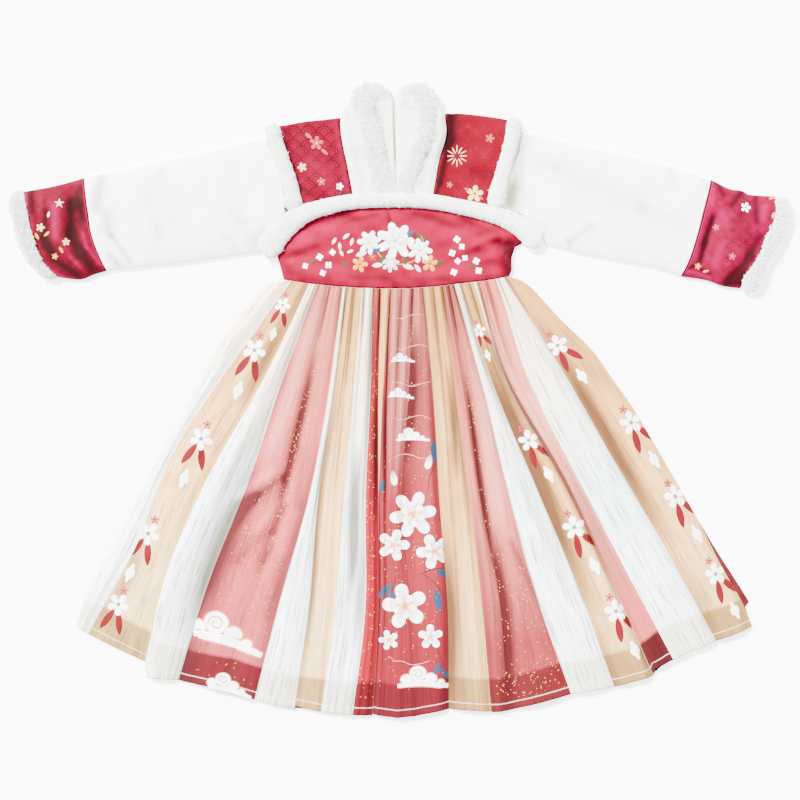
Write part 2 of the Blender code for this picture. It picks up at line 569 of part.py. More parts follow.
def build_skirt_lining():
    """The white lining between front and back, which ends above the hem."""
    def lined(path, inward):
        """The side's points down to the lining's end, moved inward."""
        spots = along(path, np.linspace(0.02, LINING_END, 16), smooth=False)
        return [(x + inward, y) for x, y in spots]
    left = lined(side_path(SKIRT_LEFT), LINING_INSET)
    right = lined(side_path(SKIRT_RIGHT), -LINING_INSET)
    hem = []
    for fold in FOLDS[1:-1]:
        path = fold_path(fold)
        hem.append(tuple(np.interp(LINING_END, FOLD_ROWS, path[:, axis]) for axis in (0, 1)))
    waist = along(shifted(WAIST, 0, -2), np.linspace(0.14, 0.86, 12))
    outline = left + hem + right[::-1] + [tuple(point) for point in waist[::-1]]
    return make_plate("skirt_lining", outline, FRONT_BASE, LINING_TOP)


def neck_arc(half_width, depth, count=13):
    """The scooped neck edge of the back, from left to right."""
    angles = np.linspace(math.pi, 2 * math.pi, count)
    return [(NECK_CENTRE[0] + half_width * math.cos(angle), NECK_CENTRE[1] + depth * math.sin(angle))
            for angle in angles]


def build_bodice_back():
    """The back of the bodice, flat on the surface from the shoulders to the waist."""
    waist = [tuple(point) for point in along(shifted(WAIST, 0, SEAM_GAP), np.linspace(0, 1, 10))]
    armhole_right = smooth_points(ARMHOLE_RIGHT, steps=3)[2:]
    armhole_left = smooth_points(ARMHOLE_LEFT, steps=3)[2:]
    right = BAND_RIGHT[1:-1] + shifted(armhole_right, -BACK_ARMHOLE_GAP_RIGHT)
    left = shifted(armhole_left, BACK_ARMHOLE_GAP_LEFT)[::-1] + BAND_LEFT[::-1][1:-1]
    top = SHOULDER_LEFT[1:-1] + neck_arc(NECK_HALF_WIDTH, NECK_DEPTH) + SHOULDER_RIGHT[1:-1]
    return make_plate("bodice_back", waist + right + top[::-1] + left, 0.0, BACK_WALL)


def build_collar_back():
    """The back of the collar, which stands out past the back's neck edge."""
    outline = neck_arc(NECK_HALF_WIDTH - 0.8, NECK_DEPTH - 0.8) + COLLAR_BACK_EDGE
    return make_plate("collar_back", outline, 0.0, COLLAR_BACK_TOP)


def build_chest_band():
    """The satin band across the chest, whose top edge lies under the fur trim."""
    across = np.linspace(0, 1, 25)
    up = (0, 0.06, 0.22, 0.4, 0.58, 0.76, 1.0)
    bottom = shifted(WAIST, 0, SEAM_GAP)
    grid = patch(BAND_LEFT, BAND_RIGHT, bottom, BAND_TOP, across, up)
    puff = np.interp(up, (0, 0.06, 0.22, 0.5, 0.76, 1), (1.2, 2.6, 2.4, 1.8, 0.9, 0.6))[:, None]
    sides = np.interp(across, (0, 0.08, 0.92, 1), (0.2, 1, 1, 0.2))[None, :]
    upper = SATIN_TOP + puff * sides - pressed("chest_band_front", grid)
    lower = np.full(upper.shape, FRONT_BASE)
    return make_wall("chest_band_front", grid, upper, lower)


def build_yokes():
    """The two brocade yokes, whose outer and lower edges lie under the fur trim."""
    across = np.linspace(0, 1, 7)
    up = np.linspace(0, 1, 8)
    sides = {
        "yoke_left": (shifted(ARMHOLE_LEFT[4:], ARMHOLE_GAP), YOKE_LEFT_INNER, YOKE_SEAM_LEFT,
                      SHOULDER_LEFT),
        "yoke_right": (YOKE_RIGHT_INNER, shifted(ARMHOLE_RIGHT[4:], -ARMHOLE_GAP), YOKE_SEAM_RIGHT,
                       SHOULDER_RIGHT),
    }
    for name, (left, right, bottom, top) in sides.items():
        left = [bottom[0]] + left[1:-1] + [top[0]]
        right = [bottom[-1]] + right[1:-1] + [top[-1]]
        grid = patch(left, right, bottom, top, across, up)
        upper = SATIN_TOP + YOKE_PUFF - pressed(name, grid) - YOKE_EDGE_DROP * border(grid.shape[:2])
        make_wall(name, grid, upper, np.full(upper.shape, FRONT_BASE))


def build_collar(name, left, right, fold, left_stations, right_stations):
    """One lapel of the shawl collar: a thick roll with a fold running up it."""
    rows = np.array(COLLAR_ROWS)
    left_points = along(left, rows)
    right_points = along(right, rows)
    fold_points = along(fold, rows)
    fold_share = (fold_points[:, 0] - left_points[:, 0]) / (right_points[:, 0] - left_points[:, 0])
    fold_share = np.clip(fold_share, 0.1, 0.9)
    across = []
    for share in fold_share:
        across.append([station.share * share for station in left_stations]
                      + [share + (1 - share) * station.share for station in right_stations])
    heights = [station.height for station in left_stations + right_stations]
    grid = patch(left, right, [left[0], right[0]], [left[-1], right[-1]], across, rows)
    step = np.clip((grid[:, :, 1] - COLLAR_STEP_Y) / COLLAR_STEP_LENGTH, 0, 1)
    lower = FRONT_BASE + (COLLAR_BASE - FRONT_BASE) * step
    thickness = COLLAR_THICKNESS * np.interp(rows, COLLAR_FULLNESS_ROWS, COLLAR_FULLNESS)
    upper = lower + thickness[:, None] * np.array(heights)[None, :]
    return make_wall(name, grid, upper, lower)


def build_sleeves():
    """The two plush sleeves, from their cuff seams to the armholes."""
    sides = {
        "sleeve_left": (CUFF_LEFT_SEAM, shifted(ARMHOLE_LEFT, -ARMHOLE_GAP), SLEEVE_LEFT_BOTTOM,
                        SLEEVE_LEFT_TOP, False),
        "sleeve_right": (shifted(ARMHOLE_RIGHT, ARMHOLE_GAP), CUFF_RIGHT_SEAM, SLEEVE_RIGHT_BOTTOM,
                         SLEEVE_RIGHT_TOP, True),
    }
    shares = np.array([0, 0.06, 0.13, 0.22, 0.34, 0.48, 0.62, 0.76, 0.9, 1.0])
    heights = np.interp(shares, (0, 0.2, 0.7, 1), (CUFF_HEIGHT - 2, SLEEVE_HEIGHT, SLEEVE_HEIGHT,
                                                   SLEEVE_HEIGHT_AT_BODICE))
    wall = [PLUSH_WALL] * len(shares)
    for name, (left, right, bottom, top, mirrored) in sides.items():
        across = (1 - shares[::-1]) if mirrored else shares
        tall = heights[::-1] if mirrored else heights
        left = [bottom[0]] + left[1:-1] + [top[0]]
        right = [bottom[-1]] + right[1:-1] + [top[-1]]
        make_tube(name, left, right, bottom, top, across, tall, wall, wall, wall)


def build_cuffs():
    """The two brocade cuffs, between their sleeve seams and the fur."""
    sides = {
        "cuff_left": (CUFF_LEFT_END, shifted(CUFF_LEFT_SEAM, -CUFF_SEAM_GAP), CUFF_LEFT_BOTTOM,
                      CUFF_LEFT_TOP, False),
        "cuff_right": (shifted(CUFF_RIGHT_SEAM, CUFF_SEAM_GAP), CUFF_RIGHT_END, CUFF_RIGHT_BOTTOM,
                       CUFF_RIGHT_TOP, True),
    }
    shares = np.array([0, 0.12, 0.26, 0.42, 0.58, 0.74, 0.9, 1.0])
    heights = np.interp(shares, (0, 0.1, 0.9, 1),
                        (CUFF_HEIGHT - 1, CUFF_HEIGHT, CUFF_HEIGHT, CUFF_HEIGHT - 1.5))
    wall = [PLUSH_WALL] * len(shares)
    for name, (left, right, bottom, top, mirrored) in sides.items():
        across = (1 - shares[::-1]) if mirrored else shares
        tall = heights[::-1] if mirrored else heights
        left = [bottom[0]] + left[1:-1] + [top[0]]
        right = [bottom[-1]] + right[1:-1] + [top[-1]]
        make_tube(name, left, right, bottom, top, across, tall, wall, wall, wall)


def build_cuff_furs():
    """The fur rings round the cuffs' openings."""
    low, high = CUFF_FUR_HOLLOW
    count = len(FUR_SHARES)
    heights = [CUFF_FUR_HEIGHT * swell for swell in FUR_SWELL]
    roof = [height - high for height in heights]
    floor_wall = [low] * count
    side = [CUFF_FUR_SIDE * swell for swell in FUR_SWELL]
    outer = FUR_LEFT_OUTER
    inner = shifted(CUFF_LEFT_END, -FUR_SEAM_GAP, -0.4)
    make_tube("cuff_fur_left", outer, inner, [outer[0], inner[0]], [outer[-1], inner[-1]],
              FUR_SHARES, heights, floor_wall, roof, side)
    outer = FUR_RIGHT_OUTER
    inner = shifted(CUFF_RIGHT_END, FUR_SEAM_GAP, -0.4)
    make_tube("cuff_fur_right", inner, outer, [inner[0], outer[0]], [inner[-1], outer[-1]],
              tuple(1 - share for share in reversed(FUR_SHARES)), heights[::-1], floor_wall,
              roof[::-1], side[::-1])


def build_fur_trims():
    """The fur along the chest band and along both yokes."""
    base = SATIN_TOP + YOKE_PUFF + SEAM_GAP
    rolls = [
        ("chest_fur", CHEST_FUR_AXIS, CHEST_FUR_WIDTH, CHEST_FUR_RINGS),
        ("shoulder_fur_left", SHOULDER_FUR_LEFT_AXIS, SHOULDER_FUR_WIDTH, SHOULDER_FUR_RINGS),
        ("shoulder_fur_right", SHOULDER_FUR_RIGHT_AXIS, SHOULDER_FUR_WIDTH, SHOULDER_FUR_RINGS),
    ]
    for name, axis, width, rings in rolls:
        make_roll(name, axis, width, base, FUR_ROLL_HEIGHT, rings)


def build_dress():
    """Every piece of the dress."""
    build_skirt_back()
    build_skirt_lining()
    build_skirt_front()
    build_bodice_back()
    build_chest_band()
    build_yokes()
    build_collar_back()
    build_collar("collar_left", COLLAR_LEFT_OUTER, COLLAR_LEFT_INNER, COLLAR_LEFT_FOLD,
                 LEFT_LAPEL, LEFT_INSIDE)
    build_collar("collar_right", COLLAR_RIGHT_INNER, COLLAR_RIGHT_OUTER, COLLAR_RIGHT_FOLD,
                 RIGHT_INSIDE, RIGHT_LAPEL)
    build_sleeves()
    build_cuffs()
    build_cuff_furs()
    build_fur_trims()


clear_scene()
build_dress()
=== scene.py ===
"""The looks of a child's hanfu dress that lies flat with its front up.

What shows is a finer form of its solids: pleated chiffon, brocade, satin, plush and fur. The backs, the
lining and the collar's back are their solids with a cloth's material. Sizes are in millimetres until a mesh
is made, in the same frame as the solids. Left and right are the viewer's.
"""
import math
from collections import namedtuple

import bpy
import numpy as np
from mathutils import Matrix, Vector
from mathutils.bvhtree import BVHTree
from mathutils.kdtree import KDTree


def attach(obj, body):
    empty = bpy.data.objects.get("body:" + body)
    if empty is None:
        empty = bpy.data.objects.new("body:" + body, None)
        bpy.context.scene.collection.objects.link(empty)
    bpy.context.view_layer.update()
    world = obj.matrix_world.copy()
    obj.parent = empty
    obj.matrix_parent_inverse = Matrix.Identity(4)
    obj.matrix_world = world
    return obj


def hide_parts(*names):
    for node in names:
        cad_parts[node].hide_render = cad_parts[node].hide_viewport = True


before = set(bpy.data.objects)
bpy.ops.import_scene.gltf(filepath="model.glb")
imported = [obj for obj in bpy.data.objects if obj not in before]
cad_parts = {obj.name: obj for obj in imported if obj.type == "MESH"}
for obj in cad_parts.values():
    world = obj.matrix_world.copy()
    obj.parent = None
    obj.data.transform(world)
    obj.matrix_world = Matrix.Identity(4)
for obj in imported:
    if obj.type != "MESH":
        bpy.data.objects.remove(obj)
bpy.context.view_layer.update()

MM = 0.001

# The light: soft, and bright enough that white cloth is nearly as white as the page
SKY_STRENGTH = 2.1
SUN_STRENGTH = 26.0
SUN_ANGLE = 14.0
SUN_PLACE = (-1.2, 1.3, 1.9)
# The floor and the camera above it: places in metres, the lens and its sensor in mm
FLOOR_GLOW = 2.6
FLOOR_REACH = 3
CAMERA_HEIGHT = 1.944
CAMERA_LENS = 70
CAMERA_SENSOR = 36

# Gaps at the seams. At the armholes, the cuffs and the slit the cloths come closer than the solids do.
SEAM_GAP = 0.3
ARMHOLE_GAP = 0.1
CUFF_SEAM_GAP = 0.1
SLIT_CLOSING = 0.5
# Heights of the layers and forms of the pieces, as in the solids
FRONT_BASE = 2.1
SKIRT_SEAT = 3.9
CHIFFON_WALL = 1.6
GATHER_AT_SEAM = 2.6
GATHER_HEIGHT = 5.0
LEFT_SIDE_CREST = 5.0
HEM_STEP_SHARPNESS = 12
SATIN_TOP = 5.1
YOKE_PUFF = 1.2
YOKE_EDGE_DROP = 0.9
COLLAR_BASE = 5.3
COLLAR_THICKNESS = 13.0
COLLAR_STEP_Y = 300
COLLAR_STEP_LENGTH = 15.0
SLEEVE_HEIGHT = 14.0
SLEEVE_HEIGHT_AT_BODICE = 11.0
CUFF_HEIGHT = 16.0
TUBE_EDGE_HEIGHT = 4.0
TUBE_ROUNDNESS = 3.2
CUFF_FUR_HEIGHT = 22.0
CUFF_FUR_HOLLOW = (5.0, 13.5)
CUFF_FUR_SIDE = 6.0
FUR_SHARES = (0.0, 0.14, 0.4, 0.75, 1.0)
FUR_SWELL = (0.72, 0.93, 1.0, 0.97, 0.86)
FUR_ROLL_HEIGHT = 10.5
# The fur along the chest and the shoulders starts just above the yokes
FUR_ROLL_BASE = SATIN_TOP + YOKE_PUFF + SEAM_GAP

# The skirt's rows of points and its steps across a pleat, how high its gathers, folds and crinkles
# stand, and how far its hem turns in
SKIRT_ROWS = 210
PLEAT_STEPS = 14
GATHER_WAVE = 0.9
FOLD_WAVE = 1.1
CRINKLE_WAVE = 0.34
HEM_TURN = 2.5
# The length of its cloth and the width of a pleat's, in mm, for the crinkles' pattern
CLOTH_LENGTH = 540
PLEAT_CLOTH = 30.0
# How far the collar's lower ends tuck under the chest's fur
COLLAR_TUCK = 4.5
# The backing under fur stays inside the outline that the locks fill. A roll's widths go along its axis.
FUR_INSET = 1.6
CUFF_FUR_INSET = 5.0
CUFF_FUR_SHRINK = 0.93
CHEST_PILE_WIDTHS = (34, 29, 20, 17.5, 17, 17, 17.5, 19, 24, 30)
SHOULDER_PILE_WIDTHS = (19, 17.5, 18.5, 20, 24)
# The length and width of a lock of fur
TRIM_LOCK = (3.6, 0.9)
CUFF_LOCK = (3.2, 0.9)
COLLAR_LOCK = (2.2, 0.8)
# How many locks there are round each cuff, on its fur's rim, on each lapel and in one puff
CUFF_LOCKS = 26000
RIM_LOCKS = 6000
COLLAR_LOCKS = 13000
PUFF_LOCKS = 46
# How far a puff reaches from its middle, and how low a lock may hang
PUFF_SIZE = 4.6
FUR_FLOOR = 0.3

# Outlines as (x, y). The skirt's sides run from the waist to the hem, and the shoulders' pile downwards. The
# others run upwards or from left to right.
SKIRT_LEFT = [(-145, 150), (-161, 146), (-172, 138), (-203, 100), (-229, 63), (-249, 25), (-268, -12),
              (-309, -87), (-348, -162), (-388, -237), (-404, -282)]
SKIRT_RIGHT = [(136, 154), (151, 149), (166, 138), (201, 100), (239, 63), (266, 25), (292, -12),
               (336, -87), (372, -150), (397, -200), (418, -237), (429, -257), (439, -282)]
WAIST = [(-145, 150), (-104, 144), (-54, 140), (-1, 139), (38, 141), (73, 145), (101, 148), (136, 154)]
SHOULDER_LEFT = [(-168, 340), (-147, 342), (-118, 347), (-75, 351.5)]
SHOULDER_RIGHT = [(56, 357), (76, 357), (104, 354), (130, 350), (149, 344)]
ARMHOLE_LEFT = [(-178, 184), (-166, 204), (-153, 222), (-145, 234), (-144.5, 245), (-147, 264),
                (-154, 290), (-164, 317), (-168.5, 328)]
ARMHOLE_RIGHT = [(182, 194), (172, 214), (153, 230), (133, 240), (126.5, 247), (128, 258), (137.5, 283),
                 (145, 309), (151, 334)]
SLEEVE_LEFT_TOP = [(-393, 277), (-324, 292), (-223, 314), (-168.5, 328)]
SLEEVE_LEFT_BOTTOM = [(-365, 161), (-335, 164), (-277, 170), (-178, 184)]
SLEEVE_RIGHT_TOP = [(151, 334), (223, 317), (277, 306), (337, 290), (387, 275)]
SLEEVE_RIGHT_BOTTOM = [(182, 194), (216, 185), (248, 178), (315, 165), (350, 155)]
CUFF_LEFT_SEAM = [(-365, 161), (-373, 178), (-383, 207), (-389, 245), (-393, 277)]
CUFF_LEFT_TOP = [(-469, 260), (-451, 263), (-426, 268), (-393.4, 277)]
CUFF_LEFT_BOTTOM = [(-426, 153), (-399, 150), (-382, 156), (-365.4, 161)]
CUFF_LEFT_END = [(-426, 153), (-439, 162), (-449, 182), (-457, 205), (-462, 229), (-467, 247), (-469, 260)]
FUR_LEFT_OUTER = [(-434, 148), (-453, 156), (-467, 173), (-476, 190), (-483, 215), (-489.2, 240),
                  (-489, 254), (-479, 264)]
CUFF_RIGHT_SEAM = [(350, 155), (359, 175), (369, 207), (379, 245), (387, 275)]
CUFF_RIGHT_TOP = [(387.4, 275), (399, 269), (412, 263), (426, 261), (437, 256), (467, 254)]
CUFF_RIGHT_BOTTOM = [(350.4, 154), (382, 149), (402, 142), (424, 139)]
CUFF_RIGHT_END = [(424, 139), (427, 153), (434, 160), (446, 178), (453, 200), (463, 220), (468, 240),
                  (467, 254)]
FUR_RIGHT_OUTER = [(434, 131), (446, 135), (452, 147), (457, 172), (469, 188), (478, 205), (487, 225),
                   (490.2, 239), (486, 256)]
CHEST_FUR_AXIS = [(-165, 187), (-156, 202), (-144, 215), (-121, 231), (-90, 241), (-57, 247), (-3, 249),
                  (38, 247), (70, 241.5), (104, 234), (131, 226), (155, 213), (169, 199)]
# The pile leans over the seams beside it and runs into the chest's fur
SHOULDER_PILE_LEFT_AXIS = [(-159.5, 343), (-155, 322), (-145, 292), (-137, 266), (-134, 248), (-133, 236)]
SHOULDER_PILE_RIGHT_AXIS = [(143, 351), (139.5, 323), (131.5, 292), (124, 265), (121, 250), (120, 238)]
YOKE_SEAM_LEFT = [(-144, 237), (-130, 237), (-113, 239), (-88, 243.5), (-60, 247.5)]
YOKE_SEAM_RIGHT = [(45, 247.5), (76, 242.5), (104, 237), (126, 243)]
BAND_TOP = [(-174, 188), (-163, 204), (-150, 222), (-142, 234), (-130, 236), (-113, 238), (-88, 242.5),
            (-60, 246.5), (-32, 248.5), (-6, 249.5), (24, 248.5), (45, 246.5), (76, 241.5), (104, 235.5),
            (126, 239.5), (132, 237), (150, 228), (168, 213), (178, 198)]
BAND_LEFT = [(-145, 150.4), (-150, 169), (-155, 184), (-174, 188)]
BAND_RIGHT = [(136, 154.4), (139, 162), (139.5, 178), (144, 191), (156, 197), (178, 198)]
COLLAR_LEFT_OUTER = [(-59.3, 260), (-65, 290), (-71, 318), (-74, 342), (-72, 359), (-64, 374), (-56, 387),
                     (-42, 395.4)]
COLLAR_LEFT_INNER = [(-6, 260), (-6, 288), (-7, 313), (-8, 344), (-8, 365), (-10, 380), (-18, 389),
                     (-33, 394.5)]
COLLAR_LEFT_FOLD = [(-7, 260), (-12.5, 284), (-17, 302), (-22.5, 325), (-28, 345), (-34, 360), (-40, 374),
                    (-39, 395)]
COLLAR_RIGHT_OUTER = [(41, 259), (44, 273), (49, 300), (57, 328), (56, 350), (49, 368), (44, 381),
                      (35, 391.5)]
COLLAR_RIGHT_INNER = [(-4, 260), (-4.5, 288), (-5, 313), (-6, 344), (-6, 365), (-4, 383), (5, 390.5),
                      (22, 395)]
COLLAR_RIGHT_FOLD = [(14, 260), (24, 283), (33, 304), (40, 323), (44, 348), (43, 368), (38, 382), (28, 394)]
YOKE_LEFT_INNER = [(-60, 247.5), (-59.9, 260), (-65.6, 290), (-71.8, 318), (-75.2, 342), (-75, 351.5)]
YOKE_RIGHT_INNER = [(45, 247.5), (42, 260), (44.8, 273), (49.8, 300), (57.6, 328), (57, 357)]


def named(row_type, tables):
    """Tables whose rows have named columns."""
    return {name: [row_type(*row) for row in rows] for name, rows in tables.items()}


Fold = namedtuple("Fold", "name waist_x upper_x middle_x lower_x hem_x hem_y step_y "
                          "top_depth middle_depth hem_depth crest lean edge")
# One row for each fold line of the skirt's front, from left to right, as in its solid
FOLDS = [
    Fold("beige left", -134, -214, -285, -328, -388, -291, -291, 0.9, 0.4, 0.25, 6, 0.50, 0.0),
    Fold("white pleat", -114, -169, -236, -288, -318, -326, -345, 0.9, 0.7, 0.8, 10, 0.30, 0.5),
    Fold("pink left", -102, -148, -189, -238, -276, -349, -349, 0.9, 0.9, 0.9, 8, 0.60, 0.0),
    Fold("pink crease", -87, -114, -144, -178, -219, -360, -360, 0.9, 0.8, 0.2, 8, 0.45, 0.0),
    Fold("pink right", -72, -88, -112, -148, -181, -373, -373, 0.9, 0.3, 0.3, 7, 0.40, 0.0),
    Fold("beige narrow", -66, -81, -102, -113, -132, -386, -380, 0.9, 0.6, 0.9, 6, 0.35, 0.4),
    Fold("beige crease", -56, -69, -82, -90, -103, -387, -387, 0.9, 0.3, 0.1, 6, 0.50, 0.0),
    Fold("white valley", -44, -52, -61, -62, -78, -391, -391, 0.9, 0.9, 0.4, 7, 0.50, 0.0),
    Fold("red left", -34, -37, -43, -43, -59, -392, -392, 0.9, 0.4, 0.3, 6, 0.40, 0.0),
    Fold("centre fold", -24, -27, -27, -27, -34, -393, -391, 0.9, 0.9, 1.0, 7, 0.60, 0.3),
    Fold("centre second", -12, -16, -17, -17, -22, -393, -393, 0.9, 0.7, 0.1, 8, 0.60, 0.0),
    Fold("pale pleat", 2, -3, -7, -4, -4, -395, -395, 0.9, 0.1, 0.0, 8, 0.50, 0.0),
    Fold("dark valley", 16, 11, 3, 12, 18, -393, -393, 1.0, 0.6, 0.1, 8, 0.55, 0.0),
    Fold("centre right", 28, 41, 49, 59, 61, -385, -385, 0.9, 0.9, 1.0, 6, 0.60, 0.0),
    Fold("beige sliver", 41, 56, 66, 75, 84, -386, -386, 0.9, 0.2, 0.1, 7, 0.50, 0.0),
    Fold("red right", 52, 71, 87, 102, 114, -388, -389, 0.9, 0.5, 0.5, 6, 0.35, 0.0),
    Fold("red crease", 60, 84, 103, 125, 134, -387, -387, 0.9, 0.95, 0.7, 9, 0.60, 0.0),
    Fold("red edge", 67, 103, 134, 168, 213, -366, -366, 0.8, 0.3, 0.3, 8, 0.40, 0.0),
    Fold("white left", 75, 116, 169, 221, 267, -357, -357, 0.9, 0.9, 0.7, 8, 0.60, 0.0),
    Fold("motif crease", 86, 126, 185, 242, 291, -350, -350, 0.8, 0.15, 0.1, 9, 0.60, 0.0),
    Fold("pink strip", 97, 134, 203, 261, 316, -343, -335, 0.9, 0.8, 0.9, 8, 0.30, 0.4),
    Fold("strip crease", 108, 147, 214, 276, 339, -323, -323, 0.8, 0.3, 0.2, 9, 0.40, 0.0),
    Fold("white soft", 122, 170, 233, 295, 362, -312, -312, 0.7, 0.2, 0.15, 9, 0.40, 0.0),
    Fold("beige wide", 131, 201, 266, 332, 394, -300, -300, 0.9, 0.9, 0.6, 8, 0.55, 0.0),
]

Dye = namedtuple("Dye", "top middle low hem shade")
# Each cloth of the skirt: its colour at the waist, halfway, above the lining's end and below it, and the
# colour of the painted shade in its folds, all as they look in daylight
DYES = {
    "white": Dye((252, 220, 188), (240, 249, 249), (240, 247, 245), (212, 211, 196), (104, 102, 88)),
    "beige": Dye((182, 132, 76), (228, 176, 112), (222, 188, 128), (156, 124, 76), (92, 62, 36)),
    "tan": Dye((180, 130, 72), (206, 152, 90), (204, 162, 104), (146, 112, 64), (82, 50, 28)),
    "tuck": Dye((190, 140, 84), (226, 180, 124), (226, 180, 124), (146, 116, 70), (96, 60, 38)),
    "pink": Dye((172, 96, 82), (188, 84, 86), (170, 70, 76), (84, 20, 26), (60, 14, 18)),
    "strip": Dye((134, 54, 48), (142, 16, 34), (138, 14, 32), (84, 12, 20), (56, 6, 12)),
    "red": Dye((148, 76, 62), (188, 98, 90), (126, 42, 46), (84, 20, 24), (56, 10, 14)),
    "centre": Dye((170, 94, 82), (134, 38, 46), (116, 22, 34), (84, 14, 24), (54, 8, 12)),
    "blush": Dye((184, 96, 78), (210, 138, 118), (178, 84, 78), (58, 12, 16), (100, 30, 28)),
}

Pleat = namedtuple("Pleat", "cloth left_shade right_shade second split_top split_middle split_hem",
                   defaults=(None, 0, 0, 0))
# One row for each pleat between two fold lines, from the left side to the right: its cloth, how much
# painted shade lies along its left and right edges, and where a second cloth starts across it, if one does
PLEATS = [
    Pleat("white", 0.10, 0.10),
    Pleat("beige", 0.10, 0.45),
    Pleat("white", 0.00, 0.55),
    Pleat("pink", 0.45, 0.35),
    Pleat("pink", 0.30, 0.10),
    Pleat("white", 0.05, 0.20),
    Pleat("beige", 0.30, 0.20),
    Pleat("beige", 0.30, 0.30, "white", 0.70, 0.54, 0.20),
    Pleat("white", 0.45, 0.15),
    Pleat("strip", 0.10, 0.60),
    Pleat("tuck", 0.40, 0.35, "centre", 0.97, 0.03, 0.03),
    Pleat("centre", 0.35, 0.20),
    Pleat("centre", 0.25, 0.70),
    Pleat("centre", 0.70, 0.55),
    Pleat("tan", 0.50, 0.30),
    Pleat("tan", 0.30, 0.10),
    Pleat("red", 0.05, 0.60),
    Pleat("red", 0.60, 0.10),
    Pleat("white", 0.00, 0.35),
    Pleat("tan", 0.45, 0.15),
    Pleat("tan", 0.15, 0.60, "white", 0.50, 0.97, 0.97),
    Pleat("blush", 0.45, 0.20),
    Pleat("blush", 0.05, 0.10, "white", 0.80, 0.03, 0.03),
    Pleat("white", 0.10, 0.35),
    Pleat("tan", 0.40, 0.15),
]
# Where the lining's end shows through, as a share of the skirt's length
LINING_END = 0.922
# Where a cloth's colours lie along the skirt's length, with a sharp step at the lining's end
DYE_ROWS = (0, 0.22, 0.5, 0.86, LINING_END - 0.004, LINING_END + 0.004, 1)
# How far in from a pleat's edge its painted shade reaches, in mm
EDGE_SHADE_REACH = 6.0
# How strongly the painted shades beside the folds and the painted highlights on their crests show
SHADE_STRENGTH = 1.2
CREST_HIGHLIGHT_STRENGTH = 0.75
# A cloth is out of sight where it takes less than this share of a pleat that has two
HIDDEN_SHARE = 0.06

Shade = namedtuple("Shade", "offset start end strength width")
# Painted shade that darkens the skirt's cloth beside each fold line, from one share of its length to another.
# The offset is in mm to the fold line's right, or to its left below 0, and then the shade stays on that side.
SHADES = named(Shade, {
    "beige left": [(8, 0.70, 0.98, 0.60, 9), (6, 0.05, 0.35, 0.20, 6)],
    "white pleat": [
        (-10, 0.06, 0.34, 0.70, 7), (-6, 0.35, 0.80, 0.22, 7), (24, 0.30, 0.62, 0.50, 9),
        (12, 0.62, 0.96, 0.20, 8),
    ],
    "pink left": [
        (-4, 0.48, 0.90, 0.35, 9), (2, 0.16, 0.36, 0.35, 5), (0, 0.42, 0.92, 0.80, 26),
        (4, 0.86, 1.10, 0.70, 24),
    ],
    "pink crease": [(0, 0.16, 0.60, 0.90, 6)],
    "pink right": [(-3, 0.36, 0.95, 0.50, 8), (6, 0.55, 0.80, 0.20, 6)],
    "beige narrow": [(2, 0.18, 1.05, 0.72, 5.5)],
    "beige crease": [(0, -0.05, 0.26, 0.95, 1.3), (0, 0.26, 0.50, 0.70, 1.5)],
    "white valley": [(5, 0.36, 0.72, 0.85, 8), (11, 0.58, 0.86, 0.60, 6)],
    "red left": [(-3, 0.05, 0.45, 0.30, 4), (2, 0.02, 0.30, 0.35, 4)],
    "centre fold": [(-3, 0.22, 0.56, 0.60, 6), (1, 0.40, 1.05, 0.75, 1.6)],
    "centre second": [(-3, 0.20, 0.50, 0.55, 4), (0, 0.00, 0.30, 0.45, 3)],
    "pale pleat": [(0, 0.00, 0.25, 0.40, 3)],
    "dark valley": [(4, 0.08, 0.46, 0.80, 11), (6, 0.34, 0.62, 0.45, 10)],
    "centre right": [(-3, 0.10, 0.60, 0.35, 6), (3, 0.60, 0.95, 0.60, 7), (5, 0.55, 1.08, 0.75, 10)],
    "beige sliver": [(8, 0.18, 0.46, 0.75, 6), (-4, 0.00, 0.30, 0.35, 3)],
    "red right": [(-3, 0.22, 0.60, 0.45, 5), (4, 0.45, 1.00, 0.35, 5)],
    "red crease": [(0, 0.20, 0.70, 0.85, 5), (4, 0.56, 1.05, 0.95, 9), (30, 0.62, 0.95, 0.25, 9)],
    "white left": [
        (-2, 0.00, 0.30, 0.40, 4), (6, 0.10, 0.84, 0.85, 12), (4, 0.82, 1.05, 0.35, 8),
        (-14, 0.45, 0.80, 0.30, 7),
    ],
    "motif crease": [(4, 0.10, 0.30, 0.50, 5)],
    "pink strip": [(0, 0.12, 0.80, 0.85, 2.2), (6, 0.40, 0.85, 0.40, 7)],
    "strip crease": [(0, 0.00, 0.30, 0.35, 3)],
    "white soft": [(-8, 0.20, 0.80, 0.12, 8)],
    "beige wide": [
        (-8, 0.10, 0.50, 0.14, 8), (8, 0.10, 0.76, 0.85, 12), (30, 0.14, 0.34, 0.35, 10),
        (6, 0.76, 1.05, 0.35, 9),
    ],
})
# A thin painted shade along every fold line where it is gathered into the waist
WAIST_GATHER_SHADE = Shade(0, -0.12, 0.14, 0.85, 1.3)
# Painted highlights where the skirt's cloth pales on the crest of a fold
CREST_HIGHLIGHTS = named(Shade, {
    "pink left": [(14, 0.04, 0.52, 0.32, 8)],
    "beige narrow": [(14, 0.10, 1.00, 0.40, 6)],
    "centre second": [(8, 0.02, 0.50, 0.40, 7)],
    "pale pleat": [(5, 0.02, 0.46, 0.45, 6)],
    "centre right": [(-12, 0.30, 0.60, 0.20, 6)],
    "beige sliver": [(-5, 0.12, 0.50, 0.40, 4), (10, 0.50, 1.00, 0.35, 7)],
    "red crease": [(16, 0.12, 0.62, 0.45, 9), (34, 0.66, 0.95, 0.25, 9)],
    "motif crease": [(8, 0.40, 0.95, 0.35, 9)],
    "pink strip": [(9, 0.05, 0.55, 0.35, 5)],
    "beige wide": [(34, 0.34, 0.95, 0.30, 12)],
    "beige left": [(30, 0.30, 0.90, 0.25, 10)],
})

Crease = namedtuple("Crease", "x0 y0 x1 y1 depth width")
